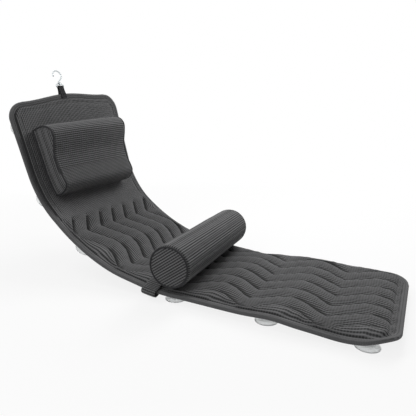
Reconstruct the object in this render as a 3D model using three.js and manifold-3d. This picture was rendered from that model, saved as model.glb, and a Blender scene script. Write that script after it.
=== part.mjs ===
// Bath lounger mat with a head pillow, a leg roll, suction cups and a hanging hook.
// Millimetres, +Z up, +X towards the foot. A place on the mat is given by s, the way along it from
// the top corners, y across it, and h, the height out of its underside.
import * as THREE from "three";
import { mergeVertices } from "three/addons/utils/BufferGeometryUtils.js";
import Module from "manifold-3d";

const wasm = await Module();
wasm.setup();
const radians = THREE.MathUtils.degToRad;

// The mat's outline and the line that it lies along
const MAT_LENGTH = 1276;
const MAT_WIDTH = 417;
const HEAD_CORNER_RADIUS = 52;
const FOOT_CORNER_RADIUS = 76;
const TOP_ARCH = 12.6;
const HEAD_STRAIGHT = 218;
const BACK_RADIUS = 277;
const SEAT_RADIUS = 548;
const HEAD_SLOPE = radians(72.2);
const WAIST_SLOPE = radians(41);
const HEAD_TWIST = radians(5.3);
const HEAD_SKEW = 16.6;

// The fold between the back and the seat
const FOLD_AT = 374;
const FOLD_GAP = 1;
const FOLD_FORWARD = radians(20);

// The mat's layers
const CLEARANCE = 0.3;
const BACKING_THICKNESS = 1.2;
const TAPE_THICKNESS = 1.2;
const TAPE_WIDTH = 17;
const EDGE_THICKNESS = 6.5;
const PLAIN_THICKNESS = 10.5;
const VALLEY_THICKNESS = 7.5;
const CREST_THICKNESS = 16.5;
const EDGE_RISE_WIDTH = 4;
// The step over which the mat's slope at a place is taken
const PROBE = 1;
const BACK_ROWS = 12;
const SEAT_ROWS = 30;
const BACK_COLUMNS = 9;

// The sewn channels
const SEAM_COUNT = 7;
const SEAM_PITCH = 55;
const SEAM_OFFSET = -4;
const WAVE_LENGTH = 173;
const WAVE_HEIGHT = 26;
const WAVE_START_SHARE = 0.389;
const NARROWEST_CHANNEL = 4;
const QUILT_FADE = 45;
const FULL_CHANNEL_SHARE = 0.7;

// Suction cups
const CUP_HEIGHT = 18;
const CUP_RADIUS = 26;
const CUP_RIM_WIDTH = 4;
const CUP_RIM_HEIGHT = 1.4;
const CUP_HOLLOW = 3;
const CUP_NECK_RADIUS = 5;
const CUP_NECK_HEIGHT = 4;
const CUP_FLANGE_RADIUS = 8;
const CUP_FLANGE_THICKNESS = 1.6;
const CUP_DOME_RADIUS_SHARE = 0.6;
const CUP_DOME_HEIGHT_SHARE = 0.62;
const CUP_SIDES = 10;
const CUP_SIDE_MARGIN = 35;
// Where the rows of cups lie, as shares of the mat's length
const CUP_ROW_SHARES = [0.0565, 0.224, 0.3685, 0.602, 0.787, 0.953];
// The cups that the roll's strap lies just up from
const CUP_ROW_PAST_STRAP = 3;

// Head pillow
const PILLOW_TOP_AT = 89;
const PILLOW_HEIGHT = 214;
const PILLOW_WIDTH = 292;
const PILLOW_OFFSET = -16;
const PILLOW_THICKNESS = 80;
const PILLOW_CROWN = 4;
const PILLOW_COVER = 2;
const PILLOW_STATIONS = 7;
const PILLOW_FRONT_POINTS = 19;
const PILLOW_BACK_POINTS = 7;
const PIPING_RADIUS = 2.3;
const PIPING_SIDES = 6;
const GUSSET_INSET = 0.6;
// The pillow's front, from the top: shares of its height and of its thickness
const PILLOW_FRONT_SHARES = [
  [0, 0],
  [-0.01, 0.3],
  [0, 0.62],
  [0.05, 0.88],
  [0.14, 1],
  [0.25, 0.92],
  [0.42, 0.72],
  [0.6, 0.7],
  [0.78, 0.75],
  [0.9, 0.74],
  [0.965, 0.62],
  [1, 0.38],
  [0.985, 0.12],
  [0.95, 0],
];

// Hook-and-loop strips
const STRIP_LENGTH = 220;
const STRIP_WIDTH = 25;
const STRIP_THICKNESS = 1.5;
const STRIP_GAP = 0.45;
const STRIP_STEPS = 8;
const STRIP_PLACE_SHARES = [0.18, 0.6];

// Leg roll
const ROLL_AT = 758.5;
const ROLL_RADIUS = 55;
const ROLL_LENGTH = 400;
const ROLL_OFFSET = -9.5;
const ROLL_YAW = radians(3);
const ROLL_TILT = radians(0.7);
const ROLL_COVER = 2;
const ROLL_GAP = 0.75;
const ROLL_SIDES = 24;
const ROLL_END_BULGE = 4;
const ROLL_END_INSET = 0.6;

// The strap round the mat that the roll is sewn to
const STRAP_WIDTH = 40;
const STRAP_THICKNESS = 1.6;
const STRAP_CLEARANCE = 0.4;
const STRAP_TO_CUP = 4;
const STRAP_TO_ROLL = 0.6;
const STRAP_RISE_SHARES = [-0.75, -0.375, 0, 0.375, 0.75];

// Hanging tab, its loop and the hook
const HANG_OFFSET = -8;
const WEBBING_WIDTH = 20;
const WEBBING_THICKNESS = 1.2;
const WEBBING_OVERLAP = 15;
const WEBBING_RISE = 23;
const WEBBING_ROUND_STEPS = 6;
const LOOP_BAR_RADIUS = 2;
const LOOP_FIT = 0.6;
const LOOP_SIDE_HEIGHT = 5.5;
const LOOP_TOP_HALF_WIDTH = 4;
const LOOP_SIDES = 8;
const BOSS_RISE = 7.5;
const BOSS_HEIGHT = 4;
const BOSS_RADIUS = 4.8;
const BOSS_SIDES = 12;
const PIN_RADIUS = 2;
const PIN_FIT = 0.35;
const PIN_HEAD_RADIUS = 3.2;
const PIN_HEAD_HEIGHT = 1.6;
const COLLAR_RADIUS = 3.6;
const COLLAR_HEIGHT = 2;
const HOOK_STEM = 3;
const HOOK_RADIUS = 14.7;
const HOOK_WIRE_RADIUS = 2.3;
const HOOK_RISE = 35;
const HOOK_STEPS = 26;
const HOOK_SIDES = 8;
const HOOK_ARC = [-50, -20, 15, 50, 90, 130, 165, 195].map(radians);

const COLOURS = {
  mesh: 0x4a4b4e,
  quilt: 0x55565a,
  backing: 0x3a3b3d,
  tape: 0x3e3f42,
  foam: 0x8d8f92,
  piping: 0x333437,
  grip: 0x2b2c2e,
  clear: 0xe4e8ea,
};
const MATTE = 0.95;
const GLOSSY = 0.18;
const SEE_THROUGH = 0.45;

function fabric(colour) {
  return new THREE.MeshStandardMaterial({ color: colour, roughness: MATTE, metalness: 0 });
}

function clearPlastic() {
  return new THREE.MeshStandardMaterial({
    color: COLOURS.clear,
    roughness: GLOSSY,
    metalness: 0,
    transparent: true,
    opacity: SEE_THROUGH,
  });
}

// Heights out of the mat's underside, and widths, that several pieces share
const PAD_BASE = BACKING_THICKNESS + CLEARANCE;
const EDGE_TOP = PAD_BASE + EDGE_THICKNESS;
const PLAIN_TOP = PAD_BASE + PLAIN_THICKNESS;
const VALLEY_TOP = PAD_BASE + VALLEY_THICKNESS;
const CREST_TOP = PAD_BASE + CREST_THICKNESS;
const TAPE_TOP = EDGE_TOP + CLEARANCE + TAPE_THICKNESS;
const TAPE_BOTTOM = -CLEARANCE - TAPE_THICKNESS;
const HALF_WIDTH = MAT_WIDTH / 2;
const WAIST_AT = HEAD_STRAIGHT + BACK_RADIUS * (HEAD_SLOPE - WAIST_SLOPE);
const FLAT_FROM = WAIST_AT + SEAT_RADIUS * WAIST_SLOPE;

// The point that lies a given way up an arc from a point and its slope
function arcPoint(from, radius, way) {
  const slope = from.slope + way / radius;
  return {
    x: from.x - radius * (Math.sin(slope) - Math.sin(from.slope)),
    z: from.z + radius * (Math.cos(from.slope) - Math.cos(slope)),
    slope,
  };
}

// The line along the middle of the underside: where it is at s, and how steeply it rises there
function spine(s) {
  const flat = { x: s - FLAT_FROM, z: CUP_HEIGHT, slope: 0 };
  if (s >= FLAT_FROM) return flat;
  const flatEnd = { ...flat, x: 0 };
  if (s >= WAIST_AT) return arcPoint(flatEnd, SEAT_RADIUS, FLAT_FROM - s);
  const waist = arcPoint(flatEnd, SEAT_RADIUS, FLAT_FROM - WAIST_AT);
  if (s >= HEAD_STRAIGHT) return arcPoint(waist, BACK_RADIUS, WAIST_AT - s);
  const neck = arcPoint(waist, BACK_RADIUS, WAIST_AT - HEAD_STRAIGHT);
  const rest = HEAD_STRAIGHT - s;
  return {
    x: neck.x - rest * Math.cos(neck.slope),
    z: neck.z + rest * Math.sin(neck.slope),
    slope: neck.slope,
  };
}

// How far up the back a place is: 0 at the fold and below it, 1 at the top corners
function backShare(s) {
  return Math.max(0, (FOLD_AT - s) / FOLD_AT);
}

// The directions at s: along the mat to the foot, across it, and out of it. The back is turned a little.
function directions(s) {
  const { slope } = spine(s);
  const along = new THREE.Vector3(Math.cos(slope), 0, -Math.sin(slope));
  const across = new THREE.Vector3(0, 1, 0).applyAxisAngle(along, HEAD_TWIST * backShare(s));
  const out = new THREE.Vector3().crossVectors(along, across);
  return { along, across, out };
}

function place(s, y, h) {
  const middle = spine(s);
  const { along, across, out } = directions(s);
  return new THREE.Vector3(middle.x, 0, middle.z)
    .addScaledVector(across, y)
    .addScaledVector(out, h)
    .addScaledVector(along, (-HEAD_SKEW * backShare(s) * y) / HALF_WIDTH);
}

// A frame on the mat for a rigid piece: its Y points straight out of the mat's surface there.
function frameAt(s, y, h) {
  const along = place(s + PROBE, y, h).sub(place(s - PROBE, y, h)).normalize();
  const out = along.clone().cross(place(s, y + PROBE, h).sub(place(s, y, h))).normalize();
  const across = new THREE.Vector3().crossVectors(along, out);
  return new THREE.Matrix4().makeBasis(along, out, across).setPosition(place(s, y, h));
}

// A closed body from rows of corners
class Body {
  constructor() {
    this.points = [];
    this.faces = [];
  }

  // A row of corners, each with its number in the row
  row(entries) {
    return entries.map(({ point, at }) => {
      this.points.push(point);
      return { index: this.points.length - 1, at };
    });
  }

  // The faces between two rows, which may have different corners but start and end alike. Turned, the
  // same faces look the other way.
  stitch(first, second, turned = false) {
    let i = 0;
    let j = 0;
    while (i < first.length - 1 || j < second.length - 1) {
      const nextFirst = i < first.length - 1 ? first[i + 1].at : Infinity;
      const nextSecond = j < second.length - 1 ? second[j + 1].at : Infinity;
      const third = nextSecond <= nextFirst ? second[j + 1] : first[i + 1];
      const face = [first[i].index, second[j].index, third.index];
      this.faces.push(turned ? face.reverse() : face);
      if (nextSecond <= nextFirst) j += 1;
      else i += 1;
    }
  }

  geometry() {
    const geometry = new THREE.BufferGeometry().setFromPoints(this.points);
    geometry.setIndex(this.faces.flat());
    return facingOut(geometry);
  }
}

function facingOut(geometry) {
  const index = geometry.index.array;
  const position = geometry.attributes.position;
  const corners = [new THREE.Vector3(), new THREE.Vector3(), new THREE.Vector3()];
  let volume = 0;
  for (let i = 0; i < index.length; i += 3) {
    corners.forEach((corner, k) => corner.fromBufferAttribute(position, index[i + k]));
    volume += corners[0].dot(corners[1].clone().cross(corners[2]));
  }
  if (volume < 0) {
    for (let i = 0; i < index.length; i += 3) [index[i], index[i + 1]] = [index[i + 1], index[i]];
  }
  geometry.computeVertexNormals();
  return geometry;
}

// A skin over rings of equal count: closed round on itself, or ended with two flat caps. The section
// is the ring's outline in a plane, from which a cap takes its triangles.
function ringGeometry(rings, section) {
  const body = new Body();
  const rows = rings.map((ring) => body.row(ring.map((point, at) => ({ point, at }))));
  const spans = section ? rows.length - 1 : rows.length;
  for (let i = 0; i < spans; i += 1) {
    const a = rows[i];
    const b = rows[(i + 1) % rows.length];
    a.forEach((corner, k) => {
      const next = (k + 1) % a.length;
      body.faces.push([corner.index, b[k].index, b[next].index]);
      body.faces.push([corner.index, b[next].index, a[next].index]);
    });
  }
  if (section) {
    const sense = Math.sign(THREE.ShapeUtils.area(section));
    for (const [p, q, r] of THREE.ShapeUtils.triangulateShape(section, [])) {
      const turns = THREE.ShapeUtils.area([section[p], section[q], section[r]]) * sense > 0;
      const [second, third] = turns ? [q, r] : [r, q];
      const last = rows[rows.length - 1];
      body.faces.push([rows[0][p].index, rows[0][second].index, rows[0][third].index]);
      body.faces.push([last[p].index, last[third].index, last[second].index]);
    }
  }
  return body.geometry();
}

// A round wire along points that lie in one plane, whose normal is given
function wireRings(points, normal, radius, sides, closed) {
  return points.map((point, i) => {
    const before = closed ? points.at(i - 1) : points[Math.max(0, i - 1)];
    const after = closed ? points[(i + 1) % points.length] : points[Math.min(points.length - 1, i + 1)];
    const side = new THREE.Vector3().subVectors(after, before).cross(normal).normalize();
    return Array.from({ length: sides }, (_, k) => {
      const angle = (2 * Math.PI * k) / sides;
      return point
        .clone()
        .addScaledVector(side, radius * Math.cos(angle))
        .addScaledVector(normal, radius * Math.sin(angle));
    });
  });
}

function roundSection(sides) {
  return Array.from({ length: sides }, (_, k) => {
    const angle = (2 * Math.PI * k) / sides;
    return new THREE.Vector2(Math.cos(angle), Math.sin(angle));
  });
}

function lathe(profile, sides) {
  return new THREE.LatheGeometry(
    profile.map(([r, y]) => new THREE.Vector2(r, y)),
    sides,
  );
}

function merged(geometry) {
  const bare = geometry.clone();
  bare.deleteAttribute("normal");
  bare.deleteAttribute("uv");
  return facingOut(mergeVertices(bare));
}

function solid(geometry) {
  const { attributes, index } = merged(geometry);
  return new wasm.Manifold(
    new wasm.Mesh({
      numProp: 3,
      vertProperties: attributes.position.array,
      triVerts: new Uint32Array(index.array),
    }),
  );
}

function fromSolid(made) {
  const { vertProperties, triVerts } = made.getMesh();
  const geometry = new THREE.BufferGeometry();
  geometry.setAttribute("position", new THREE.BufferAttribute(vertProperties, 3));
  geometry.setIndex(new THREE.BufferAttribute(triVerts, 1));
  return facingOut(geometry);
}

function named(name, geometry, material, matrix = new THREE.Matrix4()) {
  const mesh = new THREE.Mesh(merged(geometry), material);
  mesh.name = name;
  mesh.applyMatrix4(matrix);
  return mesh;
}

// The mat's two panels. Rows run from the free end to the fold and columns from near to far. The
// first three rows, and the three columns at each side, follow the outline at these insets.
const BORDER = [TAPE_THICKNESS + CLEARANCE, TAPE_WIDTH + CLEARANCE, TAPE_WIDTH + EDGE_RISE_WIDTH];
const RINGS = BORDER.length;
const INNER_HALF_WIDTH = HALF_WIDTH - BORDER[RINGS - 1];

// A seam's place across the mat: the seam lines are waves, which stop short of the border, and the
// border's lines stand beside them.
function seamAt(k, s) {
  if (k < 0) return -INNER_HALF_WIDTH;
  if (k >= SEAM_COUNT) return INNER_HALF_WIDTH;
  const phase = (s - FOLD_AT) / WAVE_LENGTH + WAVE_START_SHARE;
  const middle = SEAM_OFFSET + (k - (SEAM_COUNT - 1) / 2) * SEAM_PITCH;
  const reach = INNER_HALF_WIDTH - NARROWEST_CHANNEL;
  return THREE.MathUtils.clamp(middle + WAVE_HEIGHT * Math.sin(2 * Math.PI * phase), -reach, reach);
}

// Even columns lie on the channels' crests and odd ones on the seams.
function quiltColumn(column, s) {
  const seam = Math.floor(column / 2);
  return column % 2 ? seamAt(seam, s) : (seamAt(seam - 1, s) + seamAt(seam, s)) / 2;
}

function quiltTop(column, s) {
  const seam = Math.floor(column / 2);
  const width = seamAt(seam, s) - seamAt(seam - 1, s);
  const fullness = column % 2 ? 0 : Math.min(1, width / (SEAM_PITCH * FULL_CHANNEL_SHARE));
  const formed = THREE.MathUtils.lerp(VALLEY_TOP, CREST_TOP, fullness);
  const fade = THREE.MathUtils.clamp((s - FOLD_AT) / QUILT_FADE, 0, 1);
  return THREE.MathUtils.lerp(PLAIN_TOP, formed, fade);
}

function plainColumn(column) {
  const step = (2 * INNER_HALF_WIDTH) / (BACK_COLUMNS + 1);
  return (column + 1) * step - INNER_HALF_WIDTH;
}

function panelRows(from, count) {
  return Array.from({ length: count }, (_, i) => THREE.MathUtils.lerp(from, FOLD_AT, i / (count - 1)));
}

const BACK = {
  end: 0,
  outward: -1,
  corner: HEAD_CORNER_RADIUS,
  arch: TOP_ARCH,
  rows: panelRows(HEAD_CORNER_RADIUS, BACK_ROWS),
  columns: BACK_COLUMNS,
  across: plainColumn,
  top: () => PLAIN_TOP,
};
const SEAT = {
  end: MAT_LENGTH,
  outward: 1,
  corner: FOOT_CORNER_RADIUS,
  arch: 0,
  rows: panelRows(MAT_LENGTH - FOOT_CORNER_RADIUS, SEAT_ROWS),
  columns: 2 * SEAM_COUNT + 1,
  across: quiltColumn,
  top: quiltTop,
};

// A point of the free end's straight or arched edge
function endPoint(panel, inset, column) {
  const half = HALF_WIDTH - panel.corner;
  const y = THREE.MathUtils.lerp(-half, half, column / (panel.columns - 1));
  const arch = (panel.arch * (1 + Math.cos((Math.PI * y) / half))) / 2;
  return { s: panel.end + panel.outward * (arch - inset), y };
}

// A point of a corner's arc, whose angle is 0 at the mat's side
function cornerPoint(panel, inset, side, angle) {
  const radius = panel.corner - inset;
  return {
    s: panel.end + panel.outward * (radius * Math.sin(angle) - panel.corner),
    y: side * (HALF_WIDTH - panel.corner + radius * Math.cos(angle)),
  };
}

function sidePoint(panel, inset, side, row) {
  return { s: panel.rows[row], y: side * (HALF_WIDTH - inset), atFold: row === panel.rows.length - 1 };
}

function panelPoint(panel, column, row) {
  const last = panel.columns + 2 * RINGS - 1;
  const level = Math.min(column, last - column);
  const side = column * 2 < last ? -1 : 1;
  if (level < RINGS && row < RINGS) {
    const angle = (Math.PI / 4) * (1 + (row < level ? 1 : -1) * (Math.abs(level - row) / RINGS));
    return cornerPoint(panel, BORDER[Math.min(level, row)], side, angle);
  }
  if (row < RINGS) return endPoint(panel, BORDER[row], column - RINGS);
  if (level < RINGS) return sidePoint(panel, BORDER[level], side, row - RINGS);
  const s = panel.rows[row - RINGS];
  return { s, y: panel.across(column - RINGS, s), atFold: row === panel.rows.length + RINGS - 1 };
}

// At the fold each panel's face leans back, so that the two clear each other when the back comes forward.
function panelPlace(panel, point, h) {
  const lean = FOLD_GAP / 2 + (h - TAPE_BOTTOM) * Math.tan(FOLD_FORWARD / 2);
  return place(point.atFold ? point.s + panel.outward * lean : point.s, point.y, h);
}

function padTop(panel, column, row) {
  const last = panel.columns + 2 * RINGS - 1;
  const ring = Math.min(column, last - column, row);
  if (ring < RINGS - 1) return EDGE_TOP;
  if (ring === RINGS - 1) return PLAIN_TOP;
  return panel.top(column - RINGS, panel.rows[row - RINGS]);
}

// A layer of a panel between two heights. A flat side needs only the columns of the tape, and a flat
// top takes the bottom's diagonals, or the two would cross where the mat is twisted.
function layer(panel, topHeight, bottomHeight, flatTop) {
  const body = new Body();
  const count = panel.columns + 2 * RINGS;
  const all = Array.from({ length: count }, (_, column) => column);
  const few = [0, 1, count - 2, count - 1];
  const rowCount = panel.rows.length + RINGS;
  const makeRows = (height, sparse) =>
    Array.from({ length: rowCount }, (_, row) =>
      body.row(
        (sparse && row > 0 ? few : all).map((column) => ({
          at: column,
          point: panelPlace(panel, panelPoint(panel, column, row), height(column, row)),
        })),
      ),
    );
  const top = makeRows(topHeight, flatTop);
  const bottom = makeRows(() => bottomHeight, true);
  const edge = (rows, far) => rows.map((row, at) => ({ index: row.at(far ? -1 : 0).index, at }));
  for (let row = 0; row < rowCount - 1; row += 1) {
    if (flatTop) body.stitch(top[row + 1], top[row], true);
    else body.stitch(top[row], top[row + 1]);
    body.stitch(bottom[row + 1], bottom[row]);
  }
  body.stitch(bottom[0], top[0]);
  body.stitch(top.at(-1), bottom.at(-1));
  body.stitch(edge(top, false), edge(bottom, false));
  body.stitch(edge(bottom, true), edge(top, true));
  return body.geometry();
}

function pad(panel) {
  return layer(panel, (column, row) => padTop(panel, column, row), PAD_BASE, false);
}

function backing(panel) {
  return layer(panel, () => BACKING_THICKNESS, 0, true);
}

// The binding tape, folded over the panel's edge: inset and height of its section's corners
const TAPE_SECTION = [
  [0, TAPE_BOTTOM],
  [0, TAPE_TOP],
  [TAPE_WIDTH, TAPE_TOP],
  [TAPE_WIDTH, TAPE_TOP - TAPE_THICKNESS],
  [TAPE_THICKNESS, TAPE_TOP - TAPE_THICKNESS],
  [TAPE_THICKNESS, TAPE_BOTTOM + TAPE_THICKNESS],
  [TAPE_WIDTH, TAPE_BOTTOM + TAPE_THICKNESS],
  [TAPE_WIDTH, TAPE_BOTTOM],
];

// The stations of the outline, from the fold at the near side round to the fold at the far side
function outline(panel) {
  const rows = panel.rows.map((_, row) => row);
  const turns = Array.from({ length: 2 * RINGS - 1 }, (_, i) => (Math.PI * (i + 1)) / (4 * RINGS));
  const columns = Array.from({ length: panel.columns }, (_, column) => column);
  return [
    ...rows.toReversed().map((row) => (inset) => sidePoint(panel, inset, -1, row)),
    ...turns.map((angle) => (inset) => cornerPoint(panel, inset, -1, angle)),
    ...columns.map((column) => (inset) => endPoint(panel, inset, column)),
    ...turns.toReversed().map((angle) => (inset) => cornerPoint(panel, inset, 1, angle)),
    ...rows.map((row) => (inset) => sidePoint(panel, inset, 1, row)),
  ];
}

function binding(panel) {
  const rings = outline(panel).map((station) =>
    TAPE_SECTION.map(([inset, h]) => panelPlace(panel, station(inset), h)),
  );
  return ringGeometry(
    rings,
    TAPE_SECTION.map(([inset, h]) => new THREE.Vector2(inset, h)),
  );
}

// Suction cups
function cupRow(row) {
  return MAT_LENGTH * CUP_ROW_SHARES[row];
}

function cupGeometry() {
  const foot = -CUP_HEIGHT;
  const underFlange = -CLEARANCE - CUP_FLANGE_THICKNESS;
  const neckFoot = underFlange - CUP_NECK_HEIGHT;
  const rim = foot + CUP_RIM_HEIGHT;
  return lathe(
    [
      [0, foot + CUP_HOLLOW],
      [CUP_RADIUS - CUP_RIM_WIDTH, foot],
      [CUP_RADIUS, foot],
      [CUP_RADIUS, rim],
      [CUP_RADIUS * CUP_DOME_RADIUS_SHARE, rim + (neckFoot - rim) * CUP_DOME_HEIGHT_SHARE],
      [CUP_NECK_RADIUS, neckFoot],
      [CUP_NECK_RADIUS, underFlange],
      [CUP_FLANGE_RADIUS, underFlange],
      [CUP_FLANGE_RADIUS, -CLEARANCE],
      [0, -CLEARANCE],
    ],
    CUP_SIDES,
  );
}

function cups(row) {
  const reach = HALF_WIDTH - CUP_SIDE_MARGIN;
  return Object.entries({ near: -reach, middle: 0, far: reach }).map(([side, y]) =>
    named(`cup_${row + 1}_${side}`, cupGeometry(), clearPlastic(), frameAt(cupRow(row), y, 0)),
  );
}

// Hook-and-loop strips and the head pillow
const MAT_STRIP_FOOT = PLAIN_TOP + CLEARANCE;
const PILLOW_STRIP_FOOT = MAT_STRIP_FOOT + STRIP_THICKNESS + STRIP_GAP;
const PILLOW_FOOT = PILLOW_STRIP_FOOT + STRIP_THICKNESS + CLEARANCE;

function strip(placeShare, foot) {
  const middle = PILLOW_TOP_AT + PILLOW_HEIGHT * placeShare;
  const section = [
    new THREE.Vector2(middle - STRIP_WIDTH / 2, foot),
    new THREE.Vector2(middle + STRIP_WIDTH / 2, foot),
    new THREE.Vector2(middle + STRIP_WIDTH / 2, foot + STRIP_THICKNESS),
    new THREE.Vector2(middle - STRIP_WIDTH / 2, foot + STRIP_THICKNESS),
  ];
  const rings = Array.from({ length: STRIP_STEPS + 1 }, (_, i) => {
    const y = STRIP_LENGTH * (i / STRIP_STEPS - 1 / 2);
    return section.map(({ x, y: h }) => place(x, PILLOW_OFFSET + y, h));
  });
  return ringGeometry(rings, section);
}

// The pillow's outline, seen from the side: along the mat and out of it
function pillowOutline() {
  const sized = PILLOW_FRONT_SHARES.map(
    ([down, out]) =>
      new THREE.Vector2(PILLOW_TOP_AT + PILLOW_HEIGHT * down, PILLOW_FOOT + PILLOW_THICKNESS * out),
  );
  const front = new THREE.SplineCurve(sized).getSpacedPoints(PILLOW_FRONT_POINTS - 1);
  const back = Array.from({ length: PILLOW_BACK_POINTS - 1 }, (_, i) =>
    sized.at(-1).clone().lerp(sized[0], (i + 1) / PILLOW_BACK_POINTS),
  );
  return [...front, ...back];
}

// The inward direction at each corner of an outline, long enough to inset both its sides by 1
function inward(points) {
  const sense = Math.sign(THREE.ShapeUtils.area(points));
  return points.map((point, i) => {
    const edgeBefore = point.clone().sub(points.at(i - 1)).normalize();
    const edgeAfter = points[(i + 1) % points.length].clone().sub(point).normalize();
    const sum = edgeBefore.clone().add(edgeAfter);
    const normal = new THREE.Vector2(-sum.y, sum.x).normalize().multiplyScalar(sense);
    const cosine = Math.abs(normal.x * edgeAfter.y - normal.y * edgeAfter.x);
    return normal.divideScalar(cosine);
  });
}

function inset(points, distance) {
  const directionsIn = inward(points);
  return points.map((point, i) => point.clone().addScaledVector(directionsIn[i], distance));
}

// A ring of the pillow at y. The pillow swells a little towards its middle.
function pillowRing(points, y) {
  const share = (2 * y) / PILLOW_WIDTH;
  const swell = (PILLOW_CROWN * (1 - share * share)) / PILLOW_THICKNESS;
  return points.map(({ x, y: h }) => place(x, PILLOW_OFFSET + y, h + (h - PILLOW_FOOT) * swell));
}

const PILLOW_BODY_HALF = PILLOW_WIDTH / 2 - 2 * PIPING_RADIUS - CLEARANCE;

function pillowStations() {
  return Array.from(
    { length: PILLOW_STATIONS },
    (_, i) => PILLOW_BODY_HALF * ((2 * i) / (PILLOW_STATIONS - 1) - 1),
  );
}

function pillowCore() {
  const section = inset(pillowOutline(), PILLOW_COVER + CLEARANCE);
  return ringGeometry(
    pillowStations().map((y) => pillowRing(section, y)),
    section,
  );
}

// The cover is a sleeve, open at both ends.
function pillowCover() {
  const outer = pillowOutline();
  const inner = inset(outer, PILLOW_COVER);
  const stations = pillowStations();
  const outside = stations.map((y) => pillowRing(outer, y));
  const inside = stations.toReversed().map((y) => pillowRing(inner, y));
  return ringGeometry([...outside, ...inside]);
}

function pillowPiping(side) {
  const outer = pillowOutline();
  const centres = inset(outer, PIPING_RADIUS);
  const inwards = inward(outer);
  const middle = PILLOW_OFFSET + side * (PILLOW_WIDTH / 2 - PIPING_RADIUS);
  const rings = centres.map((centre, i) =>
    Array.from({ length: PIPING_SIDES }, (_, k) => {
      const angle = (2 * Math.PI * k) / PIPING_SIDES;
      const point = centre.clone().addScaledVector(inwards[i], PIPING_RADIUS * Math.cos(angle));
      return place(point.x, middle + PIPING_RADIUS * Math.sin(angle), point.y);
    }),
  );
  return ringGeometry(rings);
}

function pillowGusset(side) {
  const section = inset(pillowOutline(), 2 * PIPING_RADIUS + CLEARANCE);
  const inner = PILLOW_WIDTH / 2 - 2 * PIPING_RADIUS;
  const outer = PILLOW_WIDTH / 2 - GUSSET_INSET;
  return ringGeometry(
    [inner, outer].map((y) => section.map(({ x, y: h }) => place(x, PILLOW_OFFSET + side * y, h))),
    section,
  );
}

// Leg roll
const ROLL_LIFT = (ROLL_LENGTH / 2) * Math.sin(ROLL_TILT);
const ROLL_CENTRE = CREST_TOP + ROLL_GAP + ROLL_RADIUS + ROLL_LIFT;
const ROLL_BODY_HALF = ROLL_LENGTH / 2 - 2 * PIPING_RADIUS - CLEARANCE;
const ROLL_END_RADIUS = ROLL_RADIUS - 2 * PIPING_RADIUS - CLEARANCE;

// The roll's own frame: its Y runs along it, with the far end towards the head and a little up.
function rollFrame() {
  const { along, across, out } = directions(ROLL_AT);
  const axis = across
    .clone()
    .multiplyScalar(Math.cos(ROLL_YAW))
    .addScaledVector(along, -Math.sin(ROLL_YAW))
    .multiplyScalar(Math.cos(ROLL_TILT))
    .addScaledVector(out, Math.sin(ROLL_TILT));
  const forward = new THREE.Vector3().crossVectors(axis, out).normalize();
  const up = new THREE.Vector3().crossVectors(forward, axis);
  const centre = place(ROLL_AT, ROLL_OFFSET, ROLL_CENTRE);
  return new THREE.Matrix4().makeBasis(forward, axis, up).setPosition(centre);
}

function rollCore() {
  const radius = ROLL_RADIUS - ROLL_COVER - CLEARANCE;
  return lathe(
    [
      [0, -ROLL_BODY_HALF],
      [radius, -ROLL_BODY_HALF],
      [radius, ROLL_BODY_HALF],
      [0, ROLL_BODY_HALF],
    ],
    ROLL_SIDES,
  );
}

function rollSleeve() {
  const inner = ROLL_RADIUS - ROLL_COVER;
  return lathe(
    [
      [inner, -ROLL_BODY_HALF],
      [ROLL_RADIUS, -ROLL_BODY_HALF],
      [ROLL_RADIUS, ROLL_BODY_HALF],
      [inner, ROLL_BODY_HALF],
      [inner, -ROLL_BODY_HALF],
    ],
    ROLL_SIDES,
  );
}

function rollPiping(side) {
  const tube = PIPING_RADIUS;
  return new THREE.TorusGeometry(ROLL_RADIUS - tube, tube, PIPING_SIDES, ROLL_SIDES)
    .rotateX(Math.PI / 2)
    .translate(0, side * (ROLL_LENGTH / 2 - tube), 0);
}

function rollEnd(side) {
  const inner = ROLL_LENGTH / 2 - 2 * PIPING_RADIUS;
  const outer = ROLL_LENGTH / 2 - ROLL_END_INSET;
  const bulged = outer + ROLL_END_BULGE;
  return lathe(
    [
      [0, side * inner],
      [ROLL_END_RADIUS, side * inner],
      [ROLL_END_RADIUS, side * outer],
      [ROLL_END_RADIUS / 2, side * (bulged - ROLL_END_BULGE / 4)],
      [0, side * bulged],
    ],
    ROLL_SIDES,
  );
}

// The strap's top run rises to the roll's underside.
const STRAP_TO = cupRow(CUP_ROW_PAST_STRAP) - CUP_RADIUS - STRAP_TO_CUP;

// How high over a place on the mat a point is that lies just under the roll
function underRoll(s, y) {
  const toRoll = rollFrame().invert();
  const from = place(s, y, 0).applyMatrix4(toRoll);
  const out = directions(s).out.transformDirection(toRoll);
  const steepness = out.x ** 2 + out.z ** 2;
  const half = from.x * out.x + from.z * out.z;
  const rest = from.x ** 2 + from.z ** 2 - (ROLL_RADIUS + STRAP_TO_ROLL) ** 2;
  return (-half - Math.sqrt(Math.max(0, half ** 2 - steepness * rest))) / steepness;
}

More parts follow.
